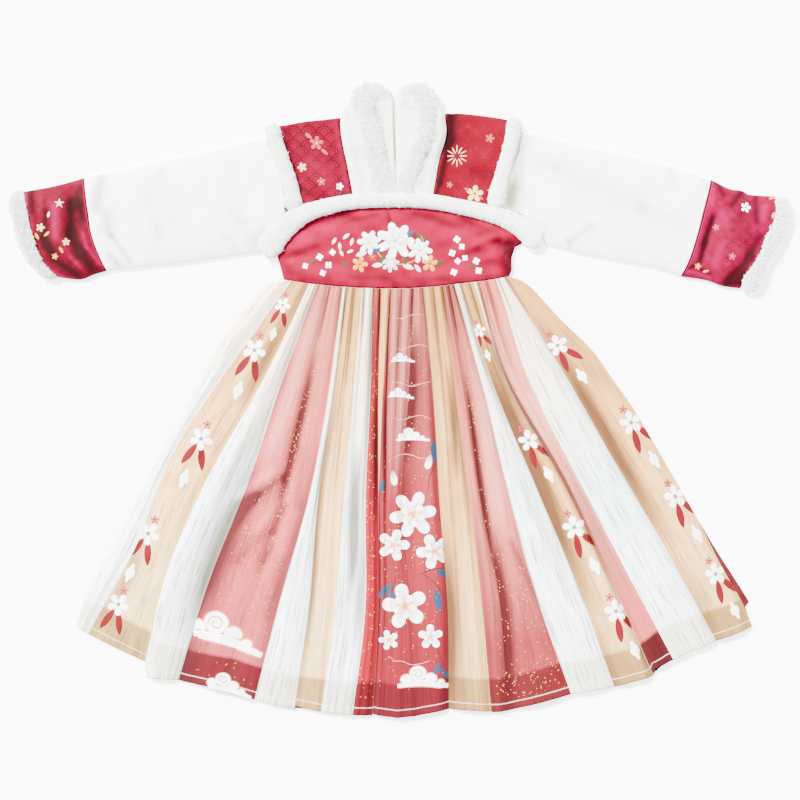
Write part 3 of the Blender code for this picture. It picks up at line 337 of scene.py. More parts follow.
# Soft troughs pressed into a piece, from (x0, y0) to (x1, y1). A ridge has depth below 0.
CREASES = named(Crease, {
    "chest_band": [
        (-150, 176, -95, 184, 1.0, 6), (-128, 213, -70, 226, 1.0, 6), (-75, 229, -25, 214, 0.9, 5),
        (-16, 236, -12, 220, 1.0, 3), (20, 226, 70, 212, 1.0, 6), (85, 180, 140, 196, 1.2, 6),
        (92, 214, 108, 196, 0.9, 5), (-60, 152, 40, 158, 0.8, 6), (126, 200, 132, 158, 1.4, 5),
        (-141, 205, -120, 170, 0.7, 5),
    ],
    "yoke_left": [
        (-118, 300, -70, 292, 0.8, 8), (-135, 330, -126, 262, 1.2, 7),
    ],
    "yoke_right": [
        (66, 352, 64, 300, 1.4, 7), (60, 280, 110, 284, 0.7, 7), (82, 340, 100, 310, 0.7, 5),
    ],
    "sleeve_left": [
        (-366, 275, -376, 235, 2.0, 9), (-370, 205, -340, 166, 2.6, 8), (-355, 214, -330, 176, 1.6, 8),
        (-205, 300, -190, 240, 1.5, 12), (-290, 250, -200, 215, 1.2, 14), (-250, 300, -238, 262, 0.8, 9),
        (-330, 262, -290, 280, 0.7, 9),
    ],
    "sleeve_right": [
        (150, 305, 168, 240, 2.4, 12), (168, 300, 230, 270, 1.4, 12), (185, 225, 250, 205, 1.2, 12),
        (372, 262, 376, 230, 1.8, 9), (290, 200, 345, 190, 1.2, 12), (262, 294, 250, 262, 0.8, 9),
        (310, 262, 350, 250, 0.7, 9),
    ],
    "cuff_left": [
        (-455, 256, -446, 215, 2.0, 6), (-438, 250, -438, 205, 1.6, 5), (-406, 262, -404, 175, 3.4, 9),
        (-398, 232, -378, 172, 2.2, 6), (-430, 175, -405, 158, 1.6, 6), (-425, 245, -427, 200, -0.8, 6),
    ],
    "cuff_right": [
        (391, 226, 372, 172, 3.0, 6), (397, 268, 404, 252, 1.8, 6), (423, 262, 410, 243, 2.0, 6),
        (441, 256, 442, 226, 1.8, 6), (446, 200, 412, 152, 2.6, 8), (360, 163, 382, 158, 2.0, 5),
        (398, 240, 400, 190, -0.8, 8),
    ],
})

Stroke = namedtuple("Stroke", "x0 y0 x1 y1 strength width")
# Soft strokes of painted shade in a fold, and of painted highlight on a ridge where strength is below 0
SHADE_STROKES = named(Stroke, {
    "skirt": [
        (-148, -96, -180, -122, 0.55, 6), (-180, -122, -206, -150, 0.45, 8),
        (-158, -88, -202, -118, -0.35, 6), (-142, -132, -158, -164, 0.50, 5),
        (-158, -164, -172, -200, 0.35, 7), (-152, -126, -178, -160, -0.28, 5),
        (-122, -60, -128, -130, 0.30, 6), (-172, -166, -200, -200, 0.30, 7),
        (-150, -200, -166, -270, 0.28, 6), (-160, -182, -176, -214, 0.30, 4),
        (-170, -230, -184, -290, 0.20, 4), (138, -176, 196, -302, 0.45, 4),
        (146, -178, 204, -300, -0.12, 4), (132, -206, 150, -270, -0.10, 8), (106, 10, 116, -60, -0.10, 6),
        (176, -78, 214, -160, 0.16, 6), (262, -96, 300, -190, 0.14, 5), (-258, -60, -300, -160, 0.16, 6),
        (-204, 20, -228, -40, 0.20, 6), (-60, -150, -62, -250, 0.30, 5), (60, -60, 66, -150, 0.25, 5),
    ],
    "chest_band": [
        (152, 198, 137, 182, 0.80, 7), (136, 192, 134, 158, 0.85, 8), (146, 205, 118, 198, 0.35, 5),
        (-150, 188, -143, 158, 0.30, 6), (-16, 240, -12, 222, 0.80, 2), (-128, 214, -64, 234, 0.45, 5),
        (-68, 222, -30, 231, 0.40, 3.5), (20, 233, 78, 215, 0.45, 5), (74, 229, 118, 208, 0.40, 4),
        (84, 184, 122, 200, 0.50, 5), (96, 170, 130, 178, 0.35, 5), (-140, 178, -104, 192, 0.40, 4),
        (-60, 152, 60, 151, 0.40, 4), (-140, 158, -90, 151, 0.30, 4), (-124, 203, -84, 217, -0.60, 6),
        (-136, 192, -112, 200, -0.45, 4), (38, 216, 90, 204, -0.55, 6), (92, 196, 116, 206, -0.45, 4),
        (-44, 234, 16, 239, -0.40, 4), (-130, 166, -60, 160, -0.40, 6), (16, 159, 90, 164, -0.40, 6),
        (104, 190, 122, 192, -0.35, 4),
    ],
    "yoke_left": [
        (-144, 320, -128, 245, 0.85, 5), (-80, 346, -66, 262, -0.45, 3), (-112, 300, -92, 276, -0.35, 11),
        (-124, 262, -88, 250, 0.30, 5),
    ],
    "yoke_right": [
        (64, 360, 63, 326, 1.00, 10), (62, 326, 50, 272, 0.95, 5), (50, 272, 45, 256, 0.85, 3),
        (108, 346, 100, 312, -0.30, 12), (90, 286, 118, 278, 0.30, 8), (84, 270, 104, 262, -0.25, 6),
    ],
    "cuff_left": [
        (-396, 264, -407, 242, 0.80, 6), (-408, 244, -409, 206, 1.00, 7), (-396, 246, -395, 224, 0.90, 5),
        (-408, 208, -397, 182, 1.00, 8), (-397, 182, -383, 164, 1.00, 7),
        (-394, 207, -389, 189, -0.80, 2.4), (-389, 189, -373, 169, -0.70, 2.6),
        (-428, 240, -427, 202, -0.85, 6), (-418, 196, -409, 178, -0.45, 3.5),
        (-409, 178, -395, 163, -0.40, 3), (-440, 235, -438, 190, 0.80, 5), (-443, 201, -431, 184, 0.95, 7),
        (-429, 173, -401, 156, 1.00, 6), (-459, 260, -457, 232, 0.80, 4), (-447, 250, -445, 232, -0.25, 4),
        (-466, 257, -461, 231, -0.85, 2.2), (-461, 231, -457, 209, -0.85, 2.2),
        (-448, 178, -438, 163, -0.80, 2.6), (-438, 163, -422, 154, -0.80, 2.6),
        (-422, 154, -403, 151, -0.60, 2.4), (-404, 271, -399, 268, -0.40, 4),
        (-424, 268, -416, 256, 0.30, 5),
    ],
    "cuff_right": [
        (394, 272, 402, 254, 0.70, 3.6), (427, 261, 412, 242, 0.95, 4.5), (442, 252, 443, 220, 0.75, 4.5),
        (388, 226, 378, 195, 1.00, 4.5), (378, 195, 373, 172, 1.00, 4), (446, 202, 434, 178, 0.85, 5),
        (434, 178, 421, 158, 1.00, 6.5), (421, 158, 406, 146, 1.00, 7), (414, 150, 428, 145, 1.00, 7),
        (352, 158, 363, 166, 0.65, 2), (363, 166, 386, 157, 0.70, 2.4), (388, 262, 386, 244, -0.50, 4),
        (400, 233, 405, 215, -0.55, 5), (400, 195, 391, 169, -0.45, 5), (453, 240, 450, 224, -0.55, 4),
        (358, 161, 384, 152, -0.50, 3), (424, 236, 420, 200, 0.35, 7), (434, 226, 428, 190, 0.30, 6),
    ],
    "sleeve_left": [
        (-371, 276, -377, 240, 0.60, 8), (-365, 232, -362, 208, 0.55, 8), (-358, 204, -336, 172, 0.55, 4),
        (-361, 180, -350, 168, 0.60, 5), (-299, 283, -318, 243, 0.22, 7), (-305, 227, -299, 200, 0.30, 7),
        (-276, 228, -292, 212, 0.22, 6), (-206, 232, -186, 206, 0.28, 9), (-216, 202, -209, 190, 0.28, 7),
        (-170, 212, -184, 192, 0.40, 7),
    ],
    "sleeve_right": [
        (150, 326, 137, 246, 0.62, 13), (138, 262, 134, 240, 0.45, 12), (176, 298, 192, 290, 0.22, 10),
        (200, 285, 300, 240, 0.22, 14), (300, 240, 350, 218, 0.24, 11), (160, 216, 178, 211, 0.32, 11),
        (237, 219, 213, 197, 0.50, 4), (208, 201, 211, 187, 0.50, 2.6), (378, 274, 381, 262, 0.50, 3.5),
        (336, 288, 342, 272, 0.25, 5), (328, 166, 350, 186, 0.22, 3),
    ],
    "collar_left": [
        (-35, 372, -26, 350, 0.50, 5), (-26, 350, -12, 284, 0.22, 3), (-8, 366, -7, 262, 0.50, 1.5),
        (-20, 362, -14, 320, 0.22, 7), (-62, 330, -48, 270, 0.14, 3),
    ],
    "collar_right": [
        (4, 366, 20, 362, 0.30, 4), (50, 350, 46, 330, 0.35, 3), (46, 330, 35, 305, 0.45, 3),
        (35, 305, 26, 268, 0.35, 3), (54, 345, 47, 290, 0.20, 3), (-5, 362, -5, 262, 0.30, 1.5),
    ],
})

Station = namedtuple("Station", "share height")
# How thick the lapels are along their length
COLLAR_FULLNESS_ROWS = (0, 0.12, 0.35, 0.85, 0.95, 1)
COLLAR_FULLNESS = (0.4, 0.6, 0.85, 1, 0.75, 0.4)
# How high a lapel stands across its part on each side of its fold, as shares of its thickness
LEFT_LAPEL = [Station(0, 0.35), Station(0.12, 0.68), Station(0.42, 0.72), Station(0.6, 0.98),
              Station(0.85, 1.0), Station(1, 0.8)]
LEFT_INSIDE = [Station(0.1, 0.46), Station(0.4, 0.55), Station(0.7, 0.68), Station(0.9, 0.7),
               Station(1, 0.45)]
RIGHT_INSIDE = [Station(0, 0.45), Station(0.08, 0.72), Station(0.4, 0.76), Station(0.6, 0.96),
                Station(0.85, 1.0), Station(1, 0.88)]
RIGHT_LAPEL = [Station(0, 0.6), Station(0.35, 0.74), Station(0.7, 0.7), Station(1, 0.35)]
# Where the lapels arch over at the top, as shares of their length
ARCH_START = 0.74
ARCH_LENGTH = 0.09


def linear(colour):
    """A colour given as 0 to 255 for the eye, as the light it gives back."""
    share = np.asarray(colour, dtype=float) / 255
    return np.where(share <= 0.04045, share / 12.92, ((share + 0.055) / 1.055) ** 2.4)


def smooth_points(points, steps=8):
    """A Catmull-Rom curve through the points, as many more points."""
    points = np.asarray(points, dtype=float)
    padded = np.vstack([2 * points[0] - points[1], points, 2 * points[-1] - points[-2]])
    result = []
    for index in range(1, len(padded) - 2):
        before, start, end, after = padded[index - 1:index + 3]
        for step in range(steps):
            t = step / steps
            result.append(0.5 * (2 * start + (end - before) * t
                                 + (2 * before - 5 * start + 4 * end - after) * t ** 2
                                 + (3 * start - before - 3 * end + after) * t ** 3))
    result.append(padded[-2])
    return np.array(result)


def curve_length(points):
    """The length of the line through the points."""
    return np.hypot(*np.diff(points, axis=0).T).sum()


def heading(degrees):
    """The unit vector (x, y) turned by these degrees to the left of +x."""
    angle = math.radians(degrees)
    return np.array([math.cos(angle), math.sin(angle)])


def unit(vectors):
    """Each vector with its length made 1."""
    return vectors / np.maximum(np.linalg.norm(vectors, axis=1), 1e-9)[:, None]


def along(points, shares):
    """Points at the given shares of a smooth curve's length."""
    points = smooth_points(points)
    lengths = np.concatenate([[0], np.cumsum(np.hypot(*np.diff(points, axis=0).T))])
    shares = np.asarray(shares) * lengths[-1]
    return np.stack([np.interp(shares, lengths, points[:, axis]) for axis in (0, 1)], axis=-1)


def patch(left, right, bottom, top, across, up):
    """A grid of (x, y) between four edge curves, with a row for each share in up."""
    up = np.asarray(up, dtype=float)
    across = np.broadcast_to(np.asarray(across, dtype=float), (len(up), np.shape(across)[-1]))
    v = up[:, None, None]
    u = across[:, :, None]
    left_points = along(left, up)[:, None, :]
    right_points = along(right, up)[:, None, :]
    corners = ((1 - u) * (1 - v) * np.array(bottom[0]) + u * (1 - v) * np.array(bottom[-1])
               + (1 - u) * v * np.array(top[0]) + u * v * np.array(top[-1]))
    return ((1 - v) * along(bottom, across) + v * along(top, across)
            + (1 - u) * left_points + u * right_points - corners)


def between(left, right, across, up):
    """A grid of (x, y) between two side curves, with straight ends."""
    return patch(left, right, [left[0], right[0]], [left[-1], right[-1]], across, up)


def cornered(left, right, bottom, top):
    """Both side curves, with their ends moved to those of the bottom and top curves."""
    return [bottom[0]] + left[1:-1] + [top[0]], [bottom[-1]] + right[1:-1] + [top[-1]]


def pressed(name, grid):
    """How far the piece's creases lower it at each point of the grid."""
    depth = np.zeros(grid.shape[:2])
    for crease in CREASES.get(name, []):
        start = np.array([crease.x0, crease.y0])
        run = np.array([crease.x1, crease.y1]) - start
        share = ((grid - start) @ run) / (run @ run)
        distance = np.linalg.norm(grid - (start + np.clip(share, 0, 1)[..., None] * run), axis=-1)
        depth += crease.depth * np.exp(-(distance / crease.width) ** 2)
    return depth


def painted_stroke_shading(name, grid):
    """How much painted shade the piece's strokes lay at each point of the grid, from -1 to 1, with painted
    highlight below 0.
    """
    tone = np.zeros(grid.shape[:2])
    for stroke in SHADE_STROKES.get(name, []):
        start = np.array([stroke.x0, stroke.y0])
        run = np.array([stroke.x1, stroke.y1]) - start
        share = np.clip(((grid - start) @ run) / (run @ run), 0, 1)
        distance = np.linalg.norm(grid - (start + share[..., None] * run), axis=-1)
        tone += stroke.strength * np.exp(-(distance / stroke.width) ** 2)
    return np.clip(tone, -1, 1)


def ripples(x, y, length, seed, stretch=1.0):
    """Smooth uneven waves between about -1 and 1, longer along y where stretch is over 1."""
    draw = np.random.default_rng(seed)
    total = np.zeros(np.shape(x))
    for _ in range(8):
        angle = draw.uniform(0, math.tau)
        size = length * draw.uniform(0.6, 1.6)
        phase = draw.uniform(0, math.tau)
        total += np.sin((x * math.cos(angle) + y * math.sin(angle) / stretch) * math.tau / size + phase)
    return total / 4


def shifted(points, dx, dy=0.0):
    """The curve moved by an offset."""
    return [(x + dx, y + dy) for x, y in points]


def set_painted_shading(thing, tone):
    """Gives a piece's points their painted shading, and the points added after them none."""
    values = np.zeros((len(thing.data.vertices), 3))
    values[:tone.size, 0] = tone.ravel()
    vector_layer(thing, "tone", values)


Cut = namedtuple("Cut", "near far length flat held rests")
# What each sheet of cloth is cut to, in metres, by the solid that it replaces. What shows of it, with its
# turned edges and round both layers of a tube, is as wide as near at one end and far at the other, and as
# long as length. The outlines give these sizes. How much cloth its gathers and turned edges take is judged,
# and was judged after the mesh's own area was known.
CUTS = {
    "skirt_front": Cut(0.42, 0.90, 0.56, (0.95, 0.56), "gathered", ["skirt_lining", "skirt_back"]),
    "sleeve_left": Cut(0.245, 0.300, 0.230, (0.26, 0.34), "laid", []),
    "sleeve_right": Cut(0.294, 0.258, 0.225, (0.27, 0.35), "laid", []),
    "cuff_left": Cut(0.239, 0.246, 0.0735, (0.09, 0.25), "laid", []),
    "cuff_right": Cut(0.259, 0.254, 0.083, (0.10, 0.27), "laid", []),
    "chest_band_front": Cut(0.290, 0.360, 0.100, (0.36, 0.115), "laid", ["bodice_back"]),
    "yoke_left": Cut(0.093, 0.102, 0.113, (0.11, 0.12), "laid", ["bodice_back"]),
    "yoke_right": Cut(0.089, 0.101, 0.117, (0.11, 0.12), "laid", ["bodice_back"]),
    "collar_left": Cut(0.070, 0.080, 0.140, (0.09, 0.17), "folded", ["bodice_back", "collar_back"]),
    "collar_right": Cut(0.062, 0.074, 0.140, (0.09, 0.17), "folded", ["bodice_back", "collar_back"]),
}
sheets = {}


def declare_sheets():
    """Goes through every sheet of cloth and works out the area of its cut, which is not kept."""
    for solid, thing in sheets.items():
        cut = CUTS[solid]
        (cut.near + cut.far) / 2 * cut.length


def make_mesh(name, points, faces, material, replaced=()):
    """A smooth piece from points in millimetres, which rides on the part's body."""
    mesh = bpy.data.meshes.new(name)
    faces = faces.tolist() if isinstance(faces, np.ndarray) else faces
    mesh.from_pydata((np.asarray(points).reshape(-1, 3) * MM).tolist(), [], faces)
    mesh.shade_smooth()
    mesh.materials.append(material)
    thing = bpy.data.objects.new(name, mesh)
    bpy.context.scene.collection.objects.link(thing)
    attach(thing, "root")
    if replaced:
        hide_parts(*replaced)
    return thing


def vector_layer(thing, name, values):
    """Gives a piece's points a vector each."""
    layer = thing.data.attributes.new(name, "FLOAT_VECTOR", "POINT")
    layer.data.foreach_set("vector", values.ravel())


def colour_layer(thing, name, domain, values):
    """Gives a piece's points or face corners a colour each."""
    layer = thing.data.color_attributes.new(name, "FLOAT_COLOR", domain)
    layer.data.foreach_set("color", values.ravel())


def grid_faces(rows, columns, start=0, closed=False):
    """The quads of a grid of points, whose last column meets its first if it is closed."""
    reach = columns if closed else columns - 1
    row, column = np.meshgrid(np.arange(rows - 1), np.arange(reach), indexing="ij")
    after = (column + 1) % columns
    quads = np.stack([row * columns + column, row * columns + after,
                      (row + 1) * columns + after, (row + 1) * columns + column], axis=-1)
    return quads.reshape(-1, 4) + start


# Materials

class Value:
    """A number in a material's nodes that takes part in ordinary sums."""

    def __init__(self, tree, socket):
        self.tree = tree
        self.socket = socket

    def sum(self, operation, *others, reverse=False):
        node = self.tree.nodes.new("ShaderNodeMath")
        node.operation = operation
        terms = [self, *others]
        if reverse:
            terms.reverse()
        for place, term in zip(node.inputs, terms):
            if isinstance(term, Value):
                self.tree.links.new(term.socket, place)
            else:
                place.default_value = term
        return Value(self.tree, node.outputs[0])

    def __add__(self, other):
        return self.sum("ADD", other)

    def __sub__(self, other):
        return self.sum("SUBTRACT", other)

    def __rsub__(self, other):
        return self.sum("SUBTRACT", other, reverse=True)

    def __mul__(self, other):
        return self.sum("MULTIPLY", other)

    __radd__ = __add__

    def ramp(self, low, high):
        """0 below low and 1 above high, smoothly."""
        node = self.tree.nodes.new("ShaderNodeMapRange")
        node.interpolation_type = "SMOOTHSTEP"
        self.tree.links.new(self.socket, node.inputs["Value"])
        node.inputs["From Min"].default_value = low
        node.inputs["From Max"].default_value = high
        return Value(self.tree, node.outputs["Result"])


class Finish:
    """A material whose colour, roughness and relief are worked out by nodes."""

    def __init__(self, name, roughness=0.8, sheen=0.0, specular=0.5):
        self.material = bpy.data.materials.new(name)
        self.material.use_nodes = True
        self.tree = self.material.node_tree
        self.shader = self.tree.nodes["Principled BSDF"]
        self.shader.inputs["Roughness"].default_value = roughness
        self.shader.inputs["Sheen Weight"].default_value = sheen
        self.shader.inputs["Specular IOR Level"].default_value = specular
        self.place = self.tree.nodes.new("ShaderNodeTexCoord").outputs["Object"]

    def value(self, socket):
        return Value(self.tree, socket)

    def attribute(self, name):
        """The colour and the vector of a mesh attribute."""
        node = self.tree.nodes.new("ShaderNodeAttribute")
        node.attribute_name = name
        return node.outputs["Color"], node.outputs["Vector"]

    def scaled(self, vector, x, y, z=1.0):
        """A vector with its parts multiplied."""
        node = self.tree.nodes.new("ShaderNodeVectorMath")
        node.operation = "MULTIPLY"
        self.tree.links.new(vector, node.inputs[0])
        node.inputs[1].default_value = (x, y, z)
        return node.outputs[0]

    def parts(self, vector):
        """A vector's x, y and z."""
        node = self.tree.nodes.new("ShaderNodeSeparateXYZ")
        self.tree.links.new(vector, node.inputs[0])
        return [self.value(node.outputs[index]) for index in range(3)]

    def noise(self, vector, scale, detail=3.0, roughness=0.5):
        """Soft noise between 0 and 1."""
        node = self.tree.nodes.new("ShaderNodeTexNoise")
        self.tree.links.new(vector, node.inputs["Vector"])
        node.inputs["Scale"].default_value = scale
        node.inputs["Detail"].default_value = detail
        node.inputs["Roughness"].default_value = roughness
        return self.value(node.outputs["Fac"])

    def mix(self, share, first, second):
        """The first colour where share is 0 and the second where it is 1."""
        node = self.tree.nodes.new("ShaderNodeMix")
        node.data_type = "RGBA"
        for place, term in ((node.inputs[0], share), (node.inputs[6], first), (node.inputs[7], second)):
            if isinstance(term, Value):
                self.tree.links.new(term.socket, place)
            elif isinstance(term, bpy.types.NodeSocket):
                self.tree.links.new(term, place)
            elif np.ndim(term):
                place.default_value = (*term, 1.0)
            else:
                place.default_value = term
        return node.outputs[2]

    def colour(self, colour):
        """Sets the base colour, from a socket or from a colour as it looks in daylight."""
        if isinstance(colour, bpy.types.NodeSocket):
            self.tree.links.new(colour, self.shader.inputs["Base Color"])
        else:
            self.shader.inputs["Base Color"].default_value = (*linear(colour), 1.0)

    def toned(self, colour, deep, pale):
        """A colour that goes to a painted shade colour where the mesh's painted shading is above 0, and to a
        painted highlight colour below 0.
        """
        _, vector = self.attribute("tone")
        tone, _, _ = self.parts(vector)
        in_painted_shade = self.mix(tone, colour, linear(deep))
        return self.mix(tone * -1, in_painted_shade, linear(pale))

    def cells(self, vector, scale):
        """How far each point is from the edge of its uneven cell."""
        node = self.tree.nodes.new("ShaderNodeTexVoronoi")
        node.feature = "DISTANCE_TO_EDGE"
        self.tree.links.new(vector, node.inputs["Vector"])
        node.inputs["Scale"].default_value = scale
        return self.value(node.outputs["Distance"])

    def relief(self, height, depth_mm, strength=1.0):
        """Raises the surface by a height between 0 and 1."""
        node = self.tree.nodes.new("ShaderNodeBump")
        node.inputs["Strength"].default_value = strength
        node.inputs["Distance"].default_value = depth_mm * MM
        self.tree.links.new(height.socket, node.inputs["Height"])
        self.tree.links.new(node.outputs[0], self.shader.inputs["Normal"])


def chiffon_material():
    """Crinkled chiffon: its dye with the painted shade and highlights of its folds comes with the mesh, and
    fine crinkles with painted shade in them run down every pleat.
    """
    finish = Finish("chiffon", roughness=0.75, specular=0.08)
    dye_and_shading, _ = finish.attribute("dye_and_shading")
    _, cloth = finish.attribute("cloth")
    fine = finish.noise(finish.scaled(cloth, 0.75, 0.016, 0.0), 1.0, 2.0, 0.6)
    broad = finish.noise(finish.scaled(cloth, 0.22, 0.006, 0.0), 1.0, 2.0, 0.5)
    fleck = finish.noise(cloth, 0.5, 1.0, 0.3)
    _, _, hem = finish.parts(cloth)
    stitch = hem.ramp(8.6, 9.4) * (1 - hem.ramp(9.8, 10.6))
    _, paleness, _ = finish.parts(dye_and_shading)
    # Painted shade along the crinkles, stronger on pale cloth
    fine_crinkle_shade = fine.ramp(0.50, 0.64) * (paleness * 0.60 + 0.36)
    broad_crinkle_shade = broad.ramp(0.45, 0.75) * (paleness * 0.25 + 0.16)
    crinkle_shaded = finish.mix(fine_crinkle_shade + broad_crinkle_shade, dye_and_shading, finish.mix(0.6, dye_and_shading, linear((24, 16, 14))))
    stitched = finish.mix(stitch * 0.4, crinkle_shaded, linear((255, 246, 238)))
    finish.colour(stitched)
    finish.relief(fine * 0.9 + broad * 0.6 + fleck * 0.1 - stitch * 0.3, 1.1, 0.7)
    return finish.material


def print_material(name, roughness=0.7, depth_mm=0.15):
    """Ink or thread whose colour comes with the mesh."""
    finish = Finish(name, roughness=roughness, specular=0.06)
    ink, _ = finish.attribute("ink")
    finish.colour(ink)
    finish.relief(finish.noise(finish.place, 1400.0, 2.0), depth_mm, 0.5)
    return finish.material


def brocade_material(name, base, line, light, deep, pale, scale=15.0, cover=(0.42, 0.6), strength=0.85,
                     crackle=0.0):
    """Brocade woven with rows of overlapping scales, each as wide as the scale in mm.

    The noise's cover leaves some scales out, and crackle adds fine uneven lines. Where the mesh's
    painted shading lies, deep is its painted shade and pale its painted highlight.
    """
    finish = Finish(name, roughness=0.6, specular=0.03)
    x, y, _ = finish.parts(finish.scaled(finish.place, 1 / (scale * MM), 1 / (scale * 0.9 * MM)))
    row = (y * 2).sum("FLOOR")
    rise = y * 2 - row
    shift = row.sum("MODULO", 2.0) * 0.5
    across = (x + shift).sum("FRACT") - 0.5
    near = (across * across + (rise * 0.5) * (rise * 0.5)).sum("SQRT")
    aside = 0.5 - across.sum("ABSOLUTE")
    far = (aside * aside + ((1 - rise) * 0.5) * ((1 - rise) * 0.5)).sum("SQRT")
    within = 1 - near.ramp(0.49, 0.51)
    ring = near * within + far * (1 - within)
    lines = 1 - (ring - 0.46).sum("ABSOLUTE").ramp(0.015, 0.05)
    inner = 1 - (ring - 0.28).sum("ABSOLUTE").ramp(0.01, 0.045)
    weave = finish.noise(finish.scaled(finish.place, 2200, 700, 700), 1.0, 2.0)
    pattern = lines.sum("MAXIMUM", inner * 0.8)
    if crackle:
        cracks = 1 - finish.cells(finish.place, 260.0).ramp(0.015, 0.08)
        pattern = pattern.sum("MAXIMUM", cracks * crackle)
    wear = finish.noise(finish.place, 60.0, 2.0)
    broken = finish.noise(finish.place, 70.0, 3.0).ramp(*cover)
    cloth = finish.mix(wear.ramp(0.35, 0.7), linear(base), linear(light))
    woven = finish.mix(pattern * (0.25 + broken * 0.75) * strength, cloth, linear(line))
    finish.colour(finish.toned(woven, deep, pale))
    finish.relief(pattern * 0.3 + weave * 0.2 + wear * 0.5, 0.3, 0.5)
    return finish.material


def satin_material(name, base, light, deep, pale):
    """Satin with a fine cross weave. Where the mesh's painted shading lies, deep is its painted shade and
    pale its painted highlight.
    """
    finish = Finish(name, roughness=0.5, specular=0.03)
    weave = finish.noise(finish.scaled(finish.place, 700, 2600, 700), 1.0, 2.0)
    wear = finish.noise(finish.place, 28.0, 3.0)
    finish.colour(finish.toned(finish.mix(wear.ramp(0.3, 0.7), linear(base), linear(light)), deep, pale))
    finish.relief(weave * 0.4 + wear * 0.5, 0.35, 0.6)
    return finish.material


def plush_material(name, base, shade, scale=520.0, depth_mm=0.6, deep=(118, 120, 94)):
    """Short white pile with soft uneven nap. Where the mesh's painted shading lies, deep is its painted
    shade.
    """
    finish = Finish(name, roughness=0.92, specular=0.05)
    pile = finish.noise(finish.place, scale, 4.0, 0.65)
    nap = finish.noise(finish.place, 55.0, 3.0)
    cloth = finish.mix((pile * 0.6 + nap * 0.4).ramp(0.30, 0.62), linear(shade), linear(base))
    finish.colour(finish.toned(cloth, deep, base))
    finish.relief(pile + nap * 0.5, depth_mm, 0.6)
    return finish.material


# The skirt

def crest_height(crest, rows):
    """The height of a pleat above the skirt's seat at each row."""
    gather = np.interp(rows, (0, 0.03, 0.08), (GATHER_AT_SEAM, 4.4, GATHER_HEIGHT))
    return gather + (crest - GATHER_HEIGHT) * np.clip((rows - 0.08) / 0.35, 0, 1)


def side_path(curve, rows):
    """The points of one of the skirt's sides at every row."""
    points = smooth_points(curve)[::-1]
    start = curve[0][1] - SEAM_GAP
    y = start + rows * (curve[-1][1] - start)
    return np.stack([np.interp(y, points[:, 1], points[:, 0]), y], axis=-1)


def fold_path(fold, rows):
    """The points of a fold line at every row, from the waist to the hem."""
    places = [fold.waist_x, fold.upper_x, fold.middle_x, fold.lower_x, fold.hem_x]
    curve = smooth_points(list(zip((0, 0.25, 0.5, 0.75, 1), places)))
    waist = smooth_points(WAIST)
    start = float(np.interp(fold.waist_x, waist[:, 0], waist[:, 1])) - SEAM_GAP
    return np.stack([np.interp(rows, curve[:, 0], curve[:, 1]), start + rows * (fold.hem_y - start)], axis=-1)


def skirt_columns(rows, steps):
    """The skirt's grid of (x, y), each point's pleat and share across it, and its height above the seat."""
    paths = [side_path(SKIRT_LEFT, rows)] + [fold_path(fold, rows) for fold in FOLDS]
    paths.append(side_path(SKIRT_RIGHT, rows))
    depths = [np.ones(len(rows))]
    depths += [np.interp(rows, (0, 0.5, 1), (fold.top_depth, fold.middle_depth, fold.hem_depth))
               for fold in FOLDS]
    depths.append(np.ones(len(rows)))
    crests = [LEFT_SIDE_CREST] + [fold.crest for fold in FOLDS]
    leans = [0.5] + [fold.lean for fold in FOLDS]
    edges = [0.0] + [fold.edge for fold in FOLDS]
    drops = [0.0] + [fold.step_y - fold.hem_y for fold in FOLDS]
    spots, pleats, shares, heights = [], [], [], []
    for index, pleat in enumerate(PLEATS):
        split = np.full(len(rows), 0.5)
        if pleat.second:
            split = split_shares(pleat, rows)
        last = index == len(PLEATS) - 1
        for step in range(steps + 1 if last else steps):
            even = step / steps
            share = np.where(even < 0.5, even * 2 * split, split + (even * 2 - 1) * (1 - split))
            column = (1 - share)[:, None] * paths[index] + share[:, None] * paths[index + 1]
            if step:
                drop = drops[index] * (1 - share) * rows ** HEM_STEP_SHARPNESS
                column = column + np.array([0, 1]) * drop[:, None]
            lean = leans[index]
            rise = np.sin(math.pi / 2 * np.clip(share / lean, 0, 1))
            fall = np.sin(math.pi / 2 * np.clip((1 - share) / (1 - lean), 0, 1))
            sharp = np.clip(share / 0.06, 0, 1)
            before = 1 - depths[index] * (1 - (edges[index] * sharp + (1 - edges[index]) * rise))
            after = 1 - depths[index + 1] * (1 - fall)
            spots.append(column)
            pleats.append(np.full(len(rows), index))
            shares.append(share)
            heights.append(crest_height(crests[index], rows) * np.where(share <= lean, before, after))
    return [np.stack(each, axis=1) for each in (spots, pleats, shares, heights)]


def fold_shades(shades, grid, rows):
    """How strong the painted shades beside the fold lines are at each point of the skirt, and the painted
    highlights likewise.
    """
    folds = {fold.name: fold for fold in FOLDS}
    total = np.zeros(grid.shape[:2])
    for name, beside_fold in shades.items():
        beside = grid[..., 0] - fold_path(folds[name], rows)[:, :1]
        for shade in beside_fold:
            span = np.clip((rows - shade.start) / (shade.end - shade.start), 0, 1)
            taper = np.sin(math.pi * span)[:, None] ** 0.7
            depth = shade.strength * taper * np.exp(-((beside - shade.offset) / shade.width) ** 2)
            if shade.offset:
                depth = np.where(beside * np.sign(shade.offset) > -0.01, depth, 0)
            total = np.maximum(total, depth)
    return total


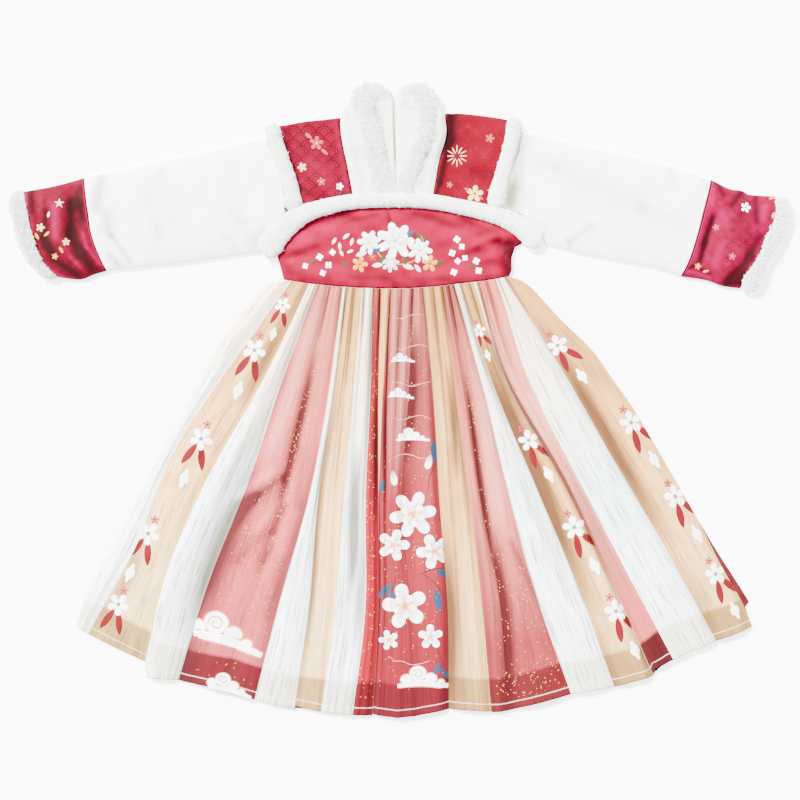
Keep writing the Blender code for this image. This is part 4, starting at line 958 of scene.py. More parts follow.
def skirt_painted_shading(grid, rows):
    """How deep the painted shade on the skirt's cloth is at each point, with painted highlight where it is
    below 0.
    """
    waist_gather_shades = {fold.name: [WAIST_GATHER_SHADE] for fold in FOLDS}
    shades = np.maximum(fold_shades(SHADES, grid, rows), fold_shades(waist_gather_shades, grid, rows))
    return SHADE_STRENGTH * shades - CREST_HIGHLIGHT_STRENGTH * fold_shades(CREST_HIGHLIGHTS, grid, rows) + painted_stroke_shading("skirt", grid)


def split_shares(pleat, rows):
    """The share of a pleat's width where its second cloth starts, at each row."""
    return np.interp(rows, (0, 0.5, 1), (pleat.split_top, pleat.split_middle, pleat.split_hem))


def dye_run(dye_and_shading, rows):
    """A cloth's colour at each row, from the waist to the hem."""
    bands = linear([dye_and_shading.top, np.add(dye_and_shading.top, dye_and_shading.middle) / 2, dye_and_shading.middle, dye_and_shading.low, dye_and_shading.low, dye_and_shading.hem, dye_and_shading.hem])
    return np.stack([np.interp(rows, DYE_ROWS, bands[:, part]) for part in range(3)], axis=-1)


def skirt_dye_and_shading(pleats, shares, rows, widths, tone, on_left):
    """The colour of the chiffon at each point, its dye with painted shade and highlights, for the faces on
    one side of it.
    """
    colour = np.zeros((*pleats.shape, 3))
    painted_highlight = np.clip(-tone, 0, 0.9)[..., None]
    slack = -1e-6 if on_left else 1e-6
    for index, pleat in enumerate(PLEATS):
        # Painted shade reaching in from both edges of the pleat
        edges = (pleat.left_shade * np.exp(-(shares * widths / EDGE_SHADE_REACH) ** 1.3)
                 + pleat.right_shade * np.exp(-((1 - shares) * widths / EDGE_SHADE_REACH) ** 1.3))
        # How deep the painted shade is at each point
        deep = np.clip(edges * 0.55 + np.maximum(tone, 0), 0, 0.96)[..., None]
        take = pleats == index
        for name in filter(None, (pleat.cloth, pleat.second)):
            run = np.repeat(dye_run(DYES[name], rows)[:, None, :], pleats.shape[1], axis=1)
            # The cloth's colour under painted shade, then under painted highlight
            run = run * (1 - deep) + linear(DYES[name].shade) * deep
            run = run * (1 - painted_highlight) + run ** 0.5 * painted_highlight
            if name == pleat.second:
                take = take & (shares >= split_shares(pleat, rows)[:, None] - slack)
            colour[take] = run[take]
    return colour


def pleat_widths(grid, pleats):
    """The width of the pleat that each point of the skirt is in."""
    last = grid.shape[1] - 1
    widths = np.zeros(pleats.shape)
    for index in range(len(PLEATS)):
        start = index * PLEAT_STEPS
        span = np.linalg.norm(grid[:, min(start + PLEAT_STEPS, last)] - grid[:, start], axis=-1)
        widths = np.where(pleats == index, span[:, None], widths)
    return widths


def paint_skirt(thing, grid, pleats, shares, rows):
    """Gives the skirt's face corners their dye and painted shading, so that two cloths meet sharply where
    they share a point.
    """
    widths = pleat_widths(grid, pleats)
    tone = skirt_painted_shading(grid, rows)
    to_right = skirt_dye_and_shading(pleats, shares, rows, widths, tone, False)
    starts = shares == 0
    ended_pleats = np.where(starts, np.maximum(pleats - 1, 0), pleats)
    ended_widths = np.where(starts, np.roll(widths, 1, axis=1), widths)
    to_left = skirt_dye_and_shading(ended_pleats, np.where(starts, 1.0, shares), rows, ended_widths, tone, True)
    to_right, to_left = (np.concatenate([side, side[-1:], side[-1:]]).reshape(-1, 3)
                         for side in (to_right, to_left))
    mesh = thing.data
    columns = grid.shape[1]
    points = np.zeros(len(mesh.loops), dtype=int)
    mesh.loops.foreach_get("vertex_index", points)
    faces = np.repeat(np.arange(len(mesh.polygons)), 4)
    face_is_left = points % columns > faces % (columns - 1)
    colours = np.ones((len(points), 4))
    colours[:, :3] = np.where(face_is_left[:, None], to_left[points], to_right[points])
    colour_layer(thing, "dye_and_shading", "CORNER", colours)


def lay_cloth(thing, rows, columns):
    """Gives the skirt's points their place on its cloth: across it, down it and up from its hem."""
    down = rows[:, None]
    cloth = np.zeros((len(thing.data.vertices) // columns, columns, 3))
    cloth[..., 0] = np.arange(columns) * (PLEAT_CLOTH / PLEAT_STEPS)
    cloth[:len(rows), :, 1] = down * CLOTH_LENGTH
    cloth[len(rows):, :, 1] = CLOTH_LENGTH + 1
    cloth[:len(rows), :, 2] = (1 - down) * CLOTH_LENGTH
    vector_layer(thing, "cloth", cloth)


def build_skirt():
    """The pleated front of the skirt, with its dyed stripes and the painted shade and highlights of its
    folds.
    """
    rows = np.linspace(0, 1, SKIRT_ROWS) ** 0.96
    grid, pleats, shares, heights = skirt_columns(rows, PLEAT_STEPS)
    heights[:, [0, -1]] = 0
    x = grid[..., 0]
    from_side = np.clip((np.minimum(x - x[:, :1], x[:, -1:] - x) - 1) / 8, 0, 1)
    above_hem = np.interp(rows, (0.925, 0.97, 1), (1, 0.25, 0))[:, None]
    seat = FRONT_BASE + (SKIRT_SEAT - FRONT_BASE) * from_side * above_hem
    across = pleats + shares
    down = rows[:, None]
    gathers = GATHER_WAVE * np.sin(across * math.tau * 2 + 1.2 * np.sin(across * 2.3)) * np.exp(-down / 0.08)
    folds = FOLD_WAVE * ripples(across * 30, down * 60, 17, 11, 9) * np.clip(down / 0.12, 0, 1)
    crinkles = CRINKLE_WAVE * ripples(across * 30, down * 200, 6, 12, 14)
    inside = np.clip(from_side * 1.5, 0, 1)
    z = seat + heights + CHIFFON_WALL + (gathers + folds + crinkles) * inside
    z = np.maximum(z, seat + CHIFFON_WALL * 0.9)
    points = np.dstack([grid, z])
    hem = points[-1] * [1, 1, 0]
    lip = hem + np.array([0, 0, 1]) * (points[-1][:, 2:] - CHIFFON_WALL)
    turn = hem + np.array([0, HEM_TURN, 0]) + np.array([0, 0, FRONT_BASE + 0.1])
    points = np.concatenate([points, lip[None], turn[None]])
    thing = make_mesh("skirt_front_cloth", points, grid_faces(*points.shape[:2])[:, ::-1], chiffon_material(),
                      ["skirt_front"])
    paint_skirt(thing, grid, pleats, shares, rows)
    lay_cloth(thing, rows, grid.shape[1])
    sheets["skirt_front"] = thing
    return points, rows


# Satin, brocade and plush

def shell(name, solid, grid, upper, base, material, wrinkle_shading=0.0):
    """A cloth shell over a grid, whose edges turn down to the base."""
    points = np.dstack([grid, upper])
    rows, columns = upper.shape
    lower = np.dstack([grid, np.broadcast_to(base, upper.shape)])
    border = [(0, c) for c in range(columns)] + [(r, columns - 1) for r in range(1, rows)]
    border += [(rows - 1, c) for c in range(columns - 2, -1, -1)] + [(r, 0) for r in range(rows - 2, 0, -1)]
    skirt = np.array([lower[spot] for spot in border])
    index = np.array([spot[0] * columns + spot[1] for spot in border])
    below = rows * columns + np.arange(len(border))
    sides = np.stack([np.roll(index, -1), index, below, np.roll(below, -1)], axis=-1)
    faces = np.concatenate([grid_faces(rows, columns), sides])
    everything = np.concatenate([points.reshape(-1, 3), skirt])
    thing = make_mesh(name, everything, faces, material, [solid])
    # The piece's painted shade and highlights: its strokes and the painted shading of its wrinkles
    set_painted_shading(thing, painted_stroke_shading(solid.replace("_front", ""), grid) + wrinkle_shading)
    sheets[solid] = thing
    return points


def round_shares(count):
    """Shares from 0 to 1 that lie closer together towards both ends."""
    return 0.5 - 0.5 * np.cos(np.linspace(0, math.pi, count))


def tube_fullness(shares):
    """How full a flattened tube is across its width, from 0 at its edges to 1."""
    return (1 - np.abs(2 * shares - 1) ** TUBE_ROUNDNESS)[:, None] ** 0.5


Tube = namedtuple("Tube", "name slot left right bottom top ruffle seed")
TUBES = [
    Tube("sleeve_left", "sleeve", CUFF_LEFT_SEAM, shifted(ARMHOLE_LEFT, -ARMHOLE_GAP), SLEEVE_LEFT_BOTTOM,
         SLEEVE_LEFT_TOP, 0.5, 21),
    Tube("sleeve_right", "sleeve", shifted(ARMHOLE_RIGHT, ARMHOLE_GAP), CUFF_RIGHT_SEAM, SLEEVE_RIGHT_BOTTOM,
         SLEEVE_RIGHT_TOP, 0.5, 22),
    Tube("cuff_left", "cuff", CUFF_LEFT_END, shifted(CUFF_LEFT_SEAM, -CUFF_SEAM_GAP), CUFF_LEFT_BOTTOM,
         CUFF_LEFT_TOP, 0.35, 23),
    Tube("cuff_right", "cuff", shifted(CUFF_RIGHT_SEAM, CUFF_SEAM_GAP), CUFF_RIGHT_END, CUFF_RIGHT_BOTTOM,
         CUFF_RIGHT_TOP, 0.35, 24),
]
SLEEVE_COLUMNS = 70
CUFF_COLUMNS = 56
TUBE_TOP_ROWS = 46
TUBE_LOW_SHARES = (0.985, 0.9, 0.7, 0.5, 0.3, 0.1, 0.015)
TUBE_UNDERSIDE = 0.05


def build_tube(row, heights, material):
    """A flattened tube of cloth that runs left to right, open at both ends."""
    left, right = cornered(row.left, row.right, row.bottom, row.top)
    across = np.linspace(0, 1, len(heights))
    shares = round_shares(TUBE_TOP_ROWS)
    upper = patch(left, right, row.bottom, row.top, across, shares)
    x, y = upper[..., 0], upper[..., 1]
    soft = row.ruffle * ripples(x, y, 34, row.seed) + 0.35 * row.ruffle * ripples(x, y, 11, row.seed + 1)
    rise = heights[None, :] - TUBE_EDGE_HEIGHT - pressed(row.name, upper) + soft
    top_points = np.dstack([upper, TUBE_EDGE_HEIGHT + rise * tube_fullness(shares)])
    low = patch(left, right, row.bottom, row.top, across, TUBE_LOW_SHARES)
    low_points = np.dstack([low, np.full(low.shape[:2], TUBE_UNDERSIDE)])
    ring = np.concatenate([top_points, low_points]).transpose(1, 0, 2)
    thing = make_mesh(row.name + "_cloth", ring, grid_faces(*ring.shape[:2], closed=True)[:, ::-1], material,
                      [row.name])
    # Painted shade and highlights from the strokes, on the top only
    set_painted_shading(thing, np.where(ring[..., 2] > TUBE_EDGE_HEIGHT, painted_stroke_shading(row.name, ring[..., :2]), 0))
    sheets[row.name] = thing
    return top_points


def build_tubes():
    """Both sleeves and both cuffs."""
    # Each brocade's last two colours are its painted shade and painted highlight, and the plush's default
    # deep is its painted shade
    plush = plush_material("sleeve_plush", (253, 254, 252), (246, 247, 243))
    materials = {
        "sleeve_left": plush,
        "sleeve_right": plush,
        "cuff_left": brocade_material("cuff_left_brocade", (82, 3, 22), (56, 3, 14), (92, 2, 28), (36, 7, 10),
                                      (120, 2, 52), scale=13.0),
        "cuff_right": brocade_material("cuff_right_brocade", (103, 0, 36), (76, 1, 22), (114, 1, 46),
                                       (42, 5, 10), (134, 3, 62), crackle=0.8),
    }
    sleeve = np.interp(np.linspace(0, 1, SLEEVE_COLUMNS), (0, 0.2, 0.7, 1),
                       (CUFF_HEIGHT - 2, SLEEVE_HEIGHT, SLEEVE_HEIGHT, SLEEVE_HEIGHT_AT_BODICE))
    cuff = np.interp(np.linspace(0, 1, CUFF_COLUMNS), (0, 0.1, 0.9, 1),
                     (CUFF_HEIGHT - 1, CUFF_HEIGHT, CUFF_HEIGHT, CUFF_HEIGHT - 1.5))
    heights = {"sleeve_left": sleeve, "sleeve_right": sleeve[::-1],
               "cuff_left": cuff, "cuff_right": cuff[::-1]}
    return {row.name: build_tube(row, heights[row.name], materials[row.name]) for row in TUBES}


def build_band():
    """The satin band across the chest."""
    across = np.linspace(0, 1, 150)
    up = np.linspace(0, 1, 52)
    grid = patch(BAND_LEFT, BAND_RIGHT, shifted(WAIST, 0, SEAM_GAP), BAND_TOP, across, up)
    x, y = grid[..., 0], grid[..., 1]
    puff = np.interp(up, (0, 0.06, 0.22, 0.5, 0.76, 1), (0.4, 2.6, 2.4, 1.8, 0.9, 0.6))[:, None]
    sides = np.interp(across, (0, 0.08, 0.92, 1), (0.2, 1, 1, 0.2))[None, :]
    soft = 0.35 * ripples(x, y, 30, 31) + 0.12 * ripples(x, y, 9, 32)
    pucker = 0.35 * np.sin(x / 3.1 + np.sin(x / 17)) * np.exp(-up[:, None] / 0.05)
    upper = SATIN_TOP + puff * sides - pressed("chest_band", grid) + soft + pucker
    # Its last two colours are a painted shade and a painted highlight
    satin = satin_material("chest_satin", (112, 0, 31), (119, 0, 36), (52, 2, 11), (136, 1, 52))
    # Painted shade and highlight of soft wrinkles, in colour only
    wrinkle_shading = 0.28 * ripples(x * 0.45 + y * 0.5, y - 0.25 * x, 17, 33)
    return shell("chest_band_cloth", "chest_band_front", grid, upper, FRONT_BASE, satin,
                 wrinkle_shading)


def build_yokes():
    """The two brocade yokes."""
    # Each brocade's last two colours are its painted shade and painted highlight
    dark_lines = brocade_material("yoke_left_brocade", (91, 0, 22), (56, 1, 12), (99, 0, 28), (36, 3, 9),
                                  (118, 1, 44), scale=19.0, cover=(0.30, 0.5))
    pale_lines = brocade_material("yoke_right_brocade", (89, 0, 16), (116, 12, 34), (96, 0, 20), (34, 4, 8),
                                  (108, 1, 24), scale=21.0, cover=(0.5, 0.62), strength=0.55)
    sides = {
        "yoke_left": (shifted(ARMHOLE_LEFT[4:], ARMHOLE_GAP), YOKE_LEFT_INNER, YOKE_SEAM_LEFT, SHOULDER_LEFT,
                      dark_lines),
        "yoke_right": (YOKE_RIGHT_INNER, shifted(ARMHOLE_RIGHT[4:], -ARMHOLE_GAP), YOKE_SEAM_RIGHT,
                       SHOULDER_RIGHT, pale_lines),
    }
    tops = {}
    for seed, (name, (left, right, bottom, top, brocade)) in enumerate(sides.items(), 41):
        left, right = cornered(left, right, bottom, top)
        grid = patch(left, right, bottom, top, np.linspace(0, 1, 50), np.linspace(0, 1, 56))
        soft = 0.3 * ripples(grid[..., 0], grid[..., 1], 26, seed)
        upper = SATIN_TOP + YOKE_PUFF - pressed(name, grid) + soft
        for edge in (np.s_[0], np.s_[-1], np.s_[:, 0], np.s_[:, -1]):
            upper[edge] -= YOKE_EDGE_DROP
        tops[name] = shell(name + "_cloth", name, grid, upper, FRONT_BASE, brocade)
    return tops


Lapel = namedtuple("Lapel", "name left right fold left_stations right_stations roll seed")
# The roll is the width of the fluffier pile beside the fold
LAPELS = [
    Lapel("collar_left", COLLAR_LEFT_OUTER, shifted(COLLAR_LEFT_INNER, SLIT_CLOSING), COLLAR_LEFT_FOLD,
          LEFT_LAPEL, LEFT_INSIDE, 25.0, 51),
    Lapel("collar_right", shifted(COLLAR_RIGHT_INNER, -SLIT_CLOSING), COLLAR_RIGHT_OUTER, COLLAR_RIGHT_FOLD,
          RIGHT_INSIDE, RIGHT_LAPEL, 20.0, 52),
]
LAPEL_ROWS = 70
LAPEL_STEPS = np.linspace(0, 1, 24)


def lapel_section(lapel):
    """How high a lapel stands at each of its columns, as a share, smoothed over its fold."""
    left = np.interp(LAPEL_STEPS, *zip(*lapel.left_stations))
    right = np.interp(LAPEL_STEPS, *zip(*lapel.right_stations))
    heights = np.concatenate([left[:-1], right])
    for _ in range(2):
        heights[1:-1] = (heights[:-2] + 2 * heights[1:-1] + heights[2:]) / 4
    return heights


def build_lapel(lapel, plush):
    """One lapel with a fold running up it, and how dense its pile is on each of its faces."""
    rows = np.linspace(0, 1, LAPEL_ROWS)
    left, right, fold = (along(curve, rows) for curve in (lapel.left, lapel.right, lapel.fold))
    fold_shares = np.clip((fold[:, 0] - left[:, 0]) / (right[:, 0] - left[:, 0]), 0.1, 0.9)
    across = [np.concatenate([LAPEL_STEPS[:-1] * share, share + LAPEL_STEPS * (1 - share)])
              for share in fold_shares]
    grid = between(lapel.left, lapel.right, across, rows)
    grid[..., 1] -= COLLAR_TUCK * np.clip(1 - rows / 0.1, 0, 1)[:, None]
    x, y = grid[..., 0], grid[..., 1]
    base = FRONT_BASE + (COLLAR_BASE - FRONT_BASE) * np.clip((y - COLLAR_STEP_Y) / COLLAR_STEP_LENGTH, 0, 1)
    thick = COLLAR_THICKNESS * np.interp(rows, COLLAR_FULLNESS_ROWS, COLLAR_FULLNESS)
    whole = np.linspace(0, 1, grid.shape[1])
    arch = np.clip((rows - ARCH_START) / ARCH_LENGTH, 0, 1)[:, None]
    arched = np.interp(whole, (0, 0.12, 0.3, 0.8, 0.93, 1), (0.35, 0.74, 0.96, 0.96, 0.74, 0.4))
    height = lapel_section(lapel) * (1 - arch) + arched * arch
    nap = 0.5 * ripples(x, y, 13, lapel.seed) + 0.3 * ripples(x, y, 5, lapel.seed)
    upper = base + thick[:, None] * height + nap * 0.8
    top = shell(lapel.name + "_cloth", lapel.name, grid, upper, base, plush)
    rolled = np.exp(-((x - fold[:, :1] + lapel.roll / 2) / (lapel.roll * 0.58)) ** 4)
    inward = np.minimum(whole, 1 - whole)[None, :]
    dense = np.maximum(rolled, arch * np.clip(inward / 0.08, 0.3, 1))
    return top, dense[:-1, :-1]


def build_collar():
    """Both plush lapels."""
    # The last colour is the painted shade of the lapels' strokes
    plush = plush_material("collar_plush", (236, 238, 232), (222, 224, 215), 420.0, 0.9, (130, 131, 112))
    return {lapel.name: build_lapel(lapel, plush) for lapel in LAPELS}


# Prints, stitches and piping

# Colours of ink and thread, as they look in daylight
INKS = {
    "white": (250, 250, 248),
    "pearl": (208, 203, 192),
    "blush": (208, 152, 136),
    "rose": (152, 60, 66),
    "peach": (196, 112, 84),
    "red": (94, 16, 22),
    "deep red": (66, 8, 16),
    "blue": (40, 58, 80),
    "grey": (104, 104, 98),
    "dark": (46, 36, 34),
    "green": (48, 60, 32),
    "gold": (194, 130, 42),
    "orange": (152, 56, 12),
    "sand": (216, 178, 124),
}
MARK_STEP = 1.7
EDGE_SEARCH_STEPS = 5
# How much higher each level of a mark lies, so that its parts don't share a surface
LEVEL_RISE = 0.04
# A height above every piece, from which a mark is dropped onto its cloth
ABOVE_ALL = 60.0
# The points round the marks whose outline needs a set number
MARK_POINTS = {"star": 20, "cross": 20, "quatrefoil": 32}


def outline(kind, count):
    """The points round a mark of unit radius, from its +x side."""
    angle = np.arange(count) * math.tau / count
    x, y = np.cos(angle), np.sin(angle)
    reach = 1.0
    if kind == "leaf":
        y = y * np.abs(y) ** 0.6
    if kind == "petal":
        y = y * np.abs(np.cos(angle / 2)) ** 0.9
    if kind == "cross":
        reach = 0.5 + 0.5 * np.abs(np.cos(2 * angle)) ** 0.8
    if kind == "quatrefoil":
        reach = 0.5 + 0.5 * np.abs(np.cos(2 * angle)) ** 0.7
    if kind == "star":
        reach = np.where(np.arange(count) % 4 == 0, 1.0, np.where(np.arange(count) % 2, 0.5, 0.32))
    return np.stack([x * reach, y * reach], axis=-1)


class Marks:
    """Prints or stitches that lie on one cloth, gathered into one mesh."""

    def __init__(self, grid, lift, dome=0.0, stripes=None):
        self.columns = grid.shape[1] - 1
        self.only = None
        self.tree = BVHTree.FromPolygons(grid.reshape(-1, 3).tolist(), grid_faces(*grid.shape[:2]).tolist())
        self.stripes = stripes
        self.lift = lift
        self.dome = dome
        self.points = []
        self.faces = []
        self.colours = []

    def drop(self, spot):
        """The cloth's height at (x, y) and the stripe that lies there, or nothing beside the cloth.

        Where only some cloths are to be marked, there is nothing beside those.
        """
        place, _, face, _ = self.tree.ray_cast(Vector((spot[0], spot[1], ABOVE_ALL)), Vector((0, 0, -1)))
        if place is None:
            return None
        if self.stripes is None:
            return place.z, 0
        row, column = divmod(face, self.columns)
        stripe, cloth = self.stripes[row][column]
        if self.only and cloth not in self.only:
            return None
        return place.z, stripe

    def point(self, x, y, z, ink):
        """Adds a point, whose ink is a name or two names and the second one's share."""
        if isinstance(ink, tuple):
            first, second, share = ink
            colour = linear(INKS[first]) * (1 - share) + linear(INKS[second]) * share
        else:
            colour = linear(INKS[ink])
        self.points.append((x, y, z))
        self.colours.append((*colour, 1.0))
        return len(self.points) - 1

    def fill(self, middle, edge, rings, ink, level, heart=None, way=None):
        """A rounded patch from its middle to its edge, cut off where its stripe of cloth ends.

        Where a heart's ink is given, the patch goes from it to its own ink along way.
        """
        def shaded(spot):
            if heart is None:
                return ink
            share = float(np.dot(spot - middle, way) / np.dot(way, way)) + 0.5
            return heart, ink, min(1.0, max(0.0, share * 1.25))

        found = self.drop(middle)
        if found is None:
            return
        height, stripe = found

        def on_stripe(spot):
            here = self.drop(spot)
            return here is not None and here[1] == stripe

        def share_on_stripe(spot):
            if on_stripe(spot):
                return 1.0
            low, high = 0.0, 1.0
            for _ in range(EDGE_SEARCH_STEPS):
                share = (low + high) / 2
                if on_stripe(middle + (spot - middle) * share):
                    low = share
                else:
                    high = share
            return low

        reach = [share_on_stripe(spot) for spot in edge]
        rise = self.lift + LEVEL_RISE * level
        centre = self.point(*middle, height + rise + self.dome, shaded(middle))
        rows = []
        for ring in range(1, rings + 1):
            dome = self.dome * (1 - (ring / rings) ** 2)
            row = []
            for spot, share in zip(edge, reach):
                place = middle + (spot - middle) * share * ring / rings
                here = self.drop(place)
                row.append(self.point(*place, (here[0] if here else height) + rise + dome, shaded(place)))
            rows.append(row)
        count = len(edge)
        for index in range(count):
            after = (index + 1) % count
            self.faces.append([centre, rows[0][index], rows[0][after]])
            for inner, outer in zip(rows[:-1], rows[1:]):
                self.faces.append([inner[index], outer[index], outer[after], inner[after]])

    def add(self, kind, x, y, length, width, turn, ink, level=0, heart=None):
        """A mark whose middle is at (x, y), turned by degrees to the left."""
        size = max(length, width)
        count = MARK_POINTS.get(kind) or max(10, math.ceil(size * 1.8 / MARK_STEP))
        rings = max(1, math.ceil(size / 2 / MARK_STEP))
        along_x, along_y = (outline(kind, count) * (length / 2, width / 2)).T
        way = heading(turn)
        edge = np.stack([x + along_x * way[0] - along_y * way[1], y + along_x * way[1] + along_y * way[0]],
                        axis=-1)
        self.fill(np.array([x, y]), edge, rings, ink, level, heart, way * length)

    def line(self, path, width, ink, level=0):
        """A thin line along a smooth path, which ends in points."""
        count = max(4, math.ceil(curve_length(smooth_points(path)) / MARK_STEP))
        spots = along(path, np.linspace(0, 1, count))
        runs = unit(np.gradient(spots, axis=0))
        aside = np.stack([-runs[:, 1], runs[:, 0]], axis=-1)
        half = width / 2 * np.sin(math.pi * np.linspace(0.06, 0.94, count)) ** 0.4
        row = []
        for index in range(count):
            here = self.drop(spots[index])
            if here is None:
                row = []
                continue
            edges = [spots[index] + aside[index] * half[index] * side for side in (-1, 1)]
            z = here[0] + self.lift + LEVEL_RISE * level + self.dome * 0.6
            pair = [self.point(*edge, z, ink) for edge in edges]
            if row:
                self.faces.append([row[0], pair[0], pair[1], row[1]])
            row = pair

    def flower(self, x, y, size, turn, petals, ink, heart, level=0, base=None):
        """A blossom of separate petals round its heart, shaded from the base's ink."""
        for petal in range(petals):
            angle = turn + 360 / petals * petal
            spot = np.array([x, y]) + heading(angle) * size * 0.27
            self.add("petal", *spot, size * 0.50, size * 1.95 / petals, angle, ink, level + petal % 2 * 0.5,
                     base)
        self.add("disc", x, y, size * 0.2, size * 0.2, 0, heart, level + 2)

    def spray(self, x, y, turn, size, leaf, stem):
        """Two leaves on a short stem."""
        root = np.array([x, y])
        way = heading(turn)
        aside = np.array([-way[1], way[0]])
        self.line([root, root + way * size * 0.5 + aside * size * 0.08, root + way * size], 0.9, stem)
        for side, place in ((28, 0.85), (-34, 0.62)):
            spot = root + way * size * place + heading(turn + side) * size * 0.3
            self.add("leaf", *spot, size * 0.62, size * 0.22, turn + side, leaf, 1)

    def cloud(self, x, y, size, turn, ink, edge):
        """A traditional cloud: round lobes over a trailing base, with a curl drawn in the largest."""
        lobes = [(-0.36, 0.00, 0.24), (-0.10, 0.12, 0.36), (0.18, 0.00, 0.26), (0.40, -0.10, 0.16)]
        base = [(-0.56, -0.14), (-0.25, -0.10), (0.15, -0.11), (0.66, -0.22)]
        across = heading(turn) * size
        up = np.array([-across[1], across[0]])

        def placed(right, high):
            return np.array([x, y]) + across * right + up * high

        for colour, swell, level in ((edge, 0.05, 0), (ink, 0.0, 3)):
            self.line([placed(*spot) for spot in base], size * (0.13 + swell), colour, level)
            for right, high, width in lobes:
                reach = size * (width + swell)
                self.add("disc", *placed(right, high), reach, reach * 0.88, turn, colour, level + 1)
        curl = []
        for step in range(9):
            bend = math.radians(200 - 60 * step)
            reach = 0.135 * (1 - step / 11)
            curl.append(placed(-0.10 + reach * math.cos(bend), 0.11 + reach * 0.85 * math.sin(bend)))
        self.line(curl, size * 0.028, edge, 6)

    def flecks(self, corners, count, ink, seed, size=(0.9, 2.2)):
        """Small uneven flecks scattered over a slanted four-sided area, given round from its top left."""
        draw = np.random.default_rng(seed)
        top_left, top_right, low_right, low_left = (np.array(corner, dtype=float) for corner in corners)
        for _ in range(count):
            u = draw.uniform()
            v = draw.beta(1.6, 1.3)
            spot = (1 - v) * ((1 - u) * top_left + u * top_right) + v * ((1 - u) * low_left + u * low_right)
            length = draw.uniform(*size)
            self.add("disc", *spot, length, length * draw.uniform(0.45, 0.9), draw.uniform(0, 180), ink, 1)

    def finish(self, name, slot, roughness=0.7):
        """The gathered marks as one piece."""
        thing = make_mesh(name, self.points, self.faces, print_material(name + "_ink", roughness))
        colour_layer(thing, "ink", "POINT", np.array(self.colours))
        return name


def skirt_stripes(rows, row_count):
    """For every face of the skirt's grid, the number and the cloth of the stripe that it is in."""
    columns = []
    stripe = 0
    before = PLEATS[0].cloth
    for pleat in PLEATS:
        splits = np.interp(np.arange(row_count), np.arange(len(rows)), split_shares(pleat, rows))
        for is_second, cloth in enumerate((pleat.cloth, pleat.second or pleat.cloth)):
            if cloth != before:
                stripe += 1
            before = cloth
            column = []
            for split in splits:
                if pleat.second and not is_second and split < HIDDEN_SHARE:
                    column.append((stripe + 1, pleat.second))
                elif pleat.second and is_second and split > 1 - HIDDEN_SHARE:
                    column.append((stripe - 1, pleat.cloth))
                else:
                    column.append((stripe, cloth))
            columns += [column] * (PLEAT_STEPS // 2)
    return list(zip(*columns))


Sprig = namedtuple("Sprig", "x y turn size")
# Printed sprigs of plum blossom on the beige stripes
SPRIGS = [
    Sprig(-181, 62, -112, 1.0), Sprig(-247, -48, -113, 1.0), Sprig(-313, -166, -115, 1.0),
    Sprig(-350, -254, -112, 0.95), Sprig(-146, 118, -108, 0.7), Sprig(98, 86, -70, 0.6),
    Sprig(160, -50, -60, 0.9), Sprig(216, -158, -62, 1.0), Sprig(268, -262, -64, 1.0),
    Sprig(196, 68, -52, 0.9), Sprig(287, -28, -58, 1.0), Sprig(342, -120, -60, 1.0),
    Sprig(392, -216, -62, 0.95),
]
CloudPrint = namedtuple("CloudPrint", "cloths x y size turn curl")
CLOUDS = [
    CloudPrint(("pink",), -222, -288, 84, -12, "peach"),
    CloudPrint(("pink",), -216, -354, 50, -10, "peach"), CloudPrint(("centre",), 28, -346, 56, 2, "peach"),
    CloudPrint(("centre",), 2, 52, 24, 4, "rose"), CloudPrint(("centre",), 0, 8, 26, 0, "rose"),
    CloudPrint(("centre",), 14, -44, 34, 4, "rose"),
]
Bloom = namedtuple("Bloom", "x y size turn petals")
# The blossoms of the central panel
BLOOMS = [
    Bloom(16, -142, 56, 10, 6), Bloom(-8, -180, 38, 0, 5), Bloom(42, -188, 42, 40, 5),
    Bloom(6, -256, 54, 30, 5), Bloom(38, -294, 30, 20, 5), Bloom(-14, -298, 24, 35, 5),
]
Spray = namedtuple("Spray", "x y turn size")
SPRAYS = [
    Spray(34, -116, 72, 46), Spray(48, -150, 60, 34), Spray(-14, -132, 118, 30), Spray(-6, -204, -100, 40),
    Spray(26, -214, -48, 46), Spray(22, -218, 14, 38), Spray(-16, -238, 160, 30), Spray(46, -308, -80, 30),
]
FleckArea = namedtuple("FleckArea", "cloth top_left top_right low_right low_left count")
FLECK_AREAS = [
    FleckArea("pink", (-98, 60), (-92, 60), (-180, -360), (-262, -340), 360),
    FleckArea("pink", (-138, -30), (-110, -30), (-190, -280), (-236, -250), 140),
    FleckArea("red", (74, 80), (96, 80), (205, -355), (122, -375), 330),
    FleckArea("red", (82, 40), (108, 40), (140, -90), (100, -90), 150),
    FleckArea("strip", (-40, 130), (-26, 130), (-34, -380), (-60, -380), 200),
    FleckArea("centre", (-14, 130), (30, 130), (56, -370), (-28, -380), 260),
    FleckArea("red", (120, -320), (200, -310), (206, -360), (124, -380), 80),
]


WAVE_HEIGHTS = (104, 66, 20, -22, -70, -326)
# Petals that lie apart from the blossoms, as x, y and turn
LOOSE_PETALS = [(36, -76, 75), (-8, -96, 100)]


def print_sprig(marks, sprig):
    """A sprig of plum blossom: two leaves, two blossoms and a cross at its tip."""
    place = np.array([sprig.x, sprig.y])
    size = sprig.size
    way = heading(sprig.turn)
    for side in (24, -16):
        angle = sprig.turn + side
        marks.add("leaf", *(place + heading(angle) * 24 * size), 32 * size, 9 * size, angle, "red")
    marks.flower(*place, 28 * size, sprig.turn + 20, 5, "white", "grey", 1)
    marks.flower(*(place - way * 19 * size), 11 * size, 15, 5, "rose", "red", 1)
    marks.add("cross", *(place + way * 54 * size), 26 * size, 12 * size, sprig.turn, "white")


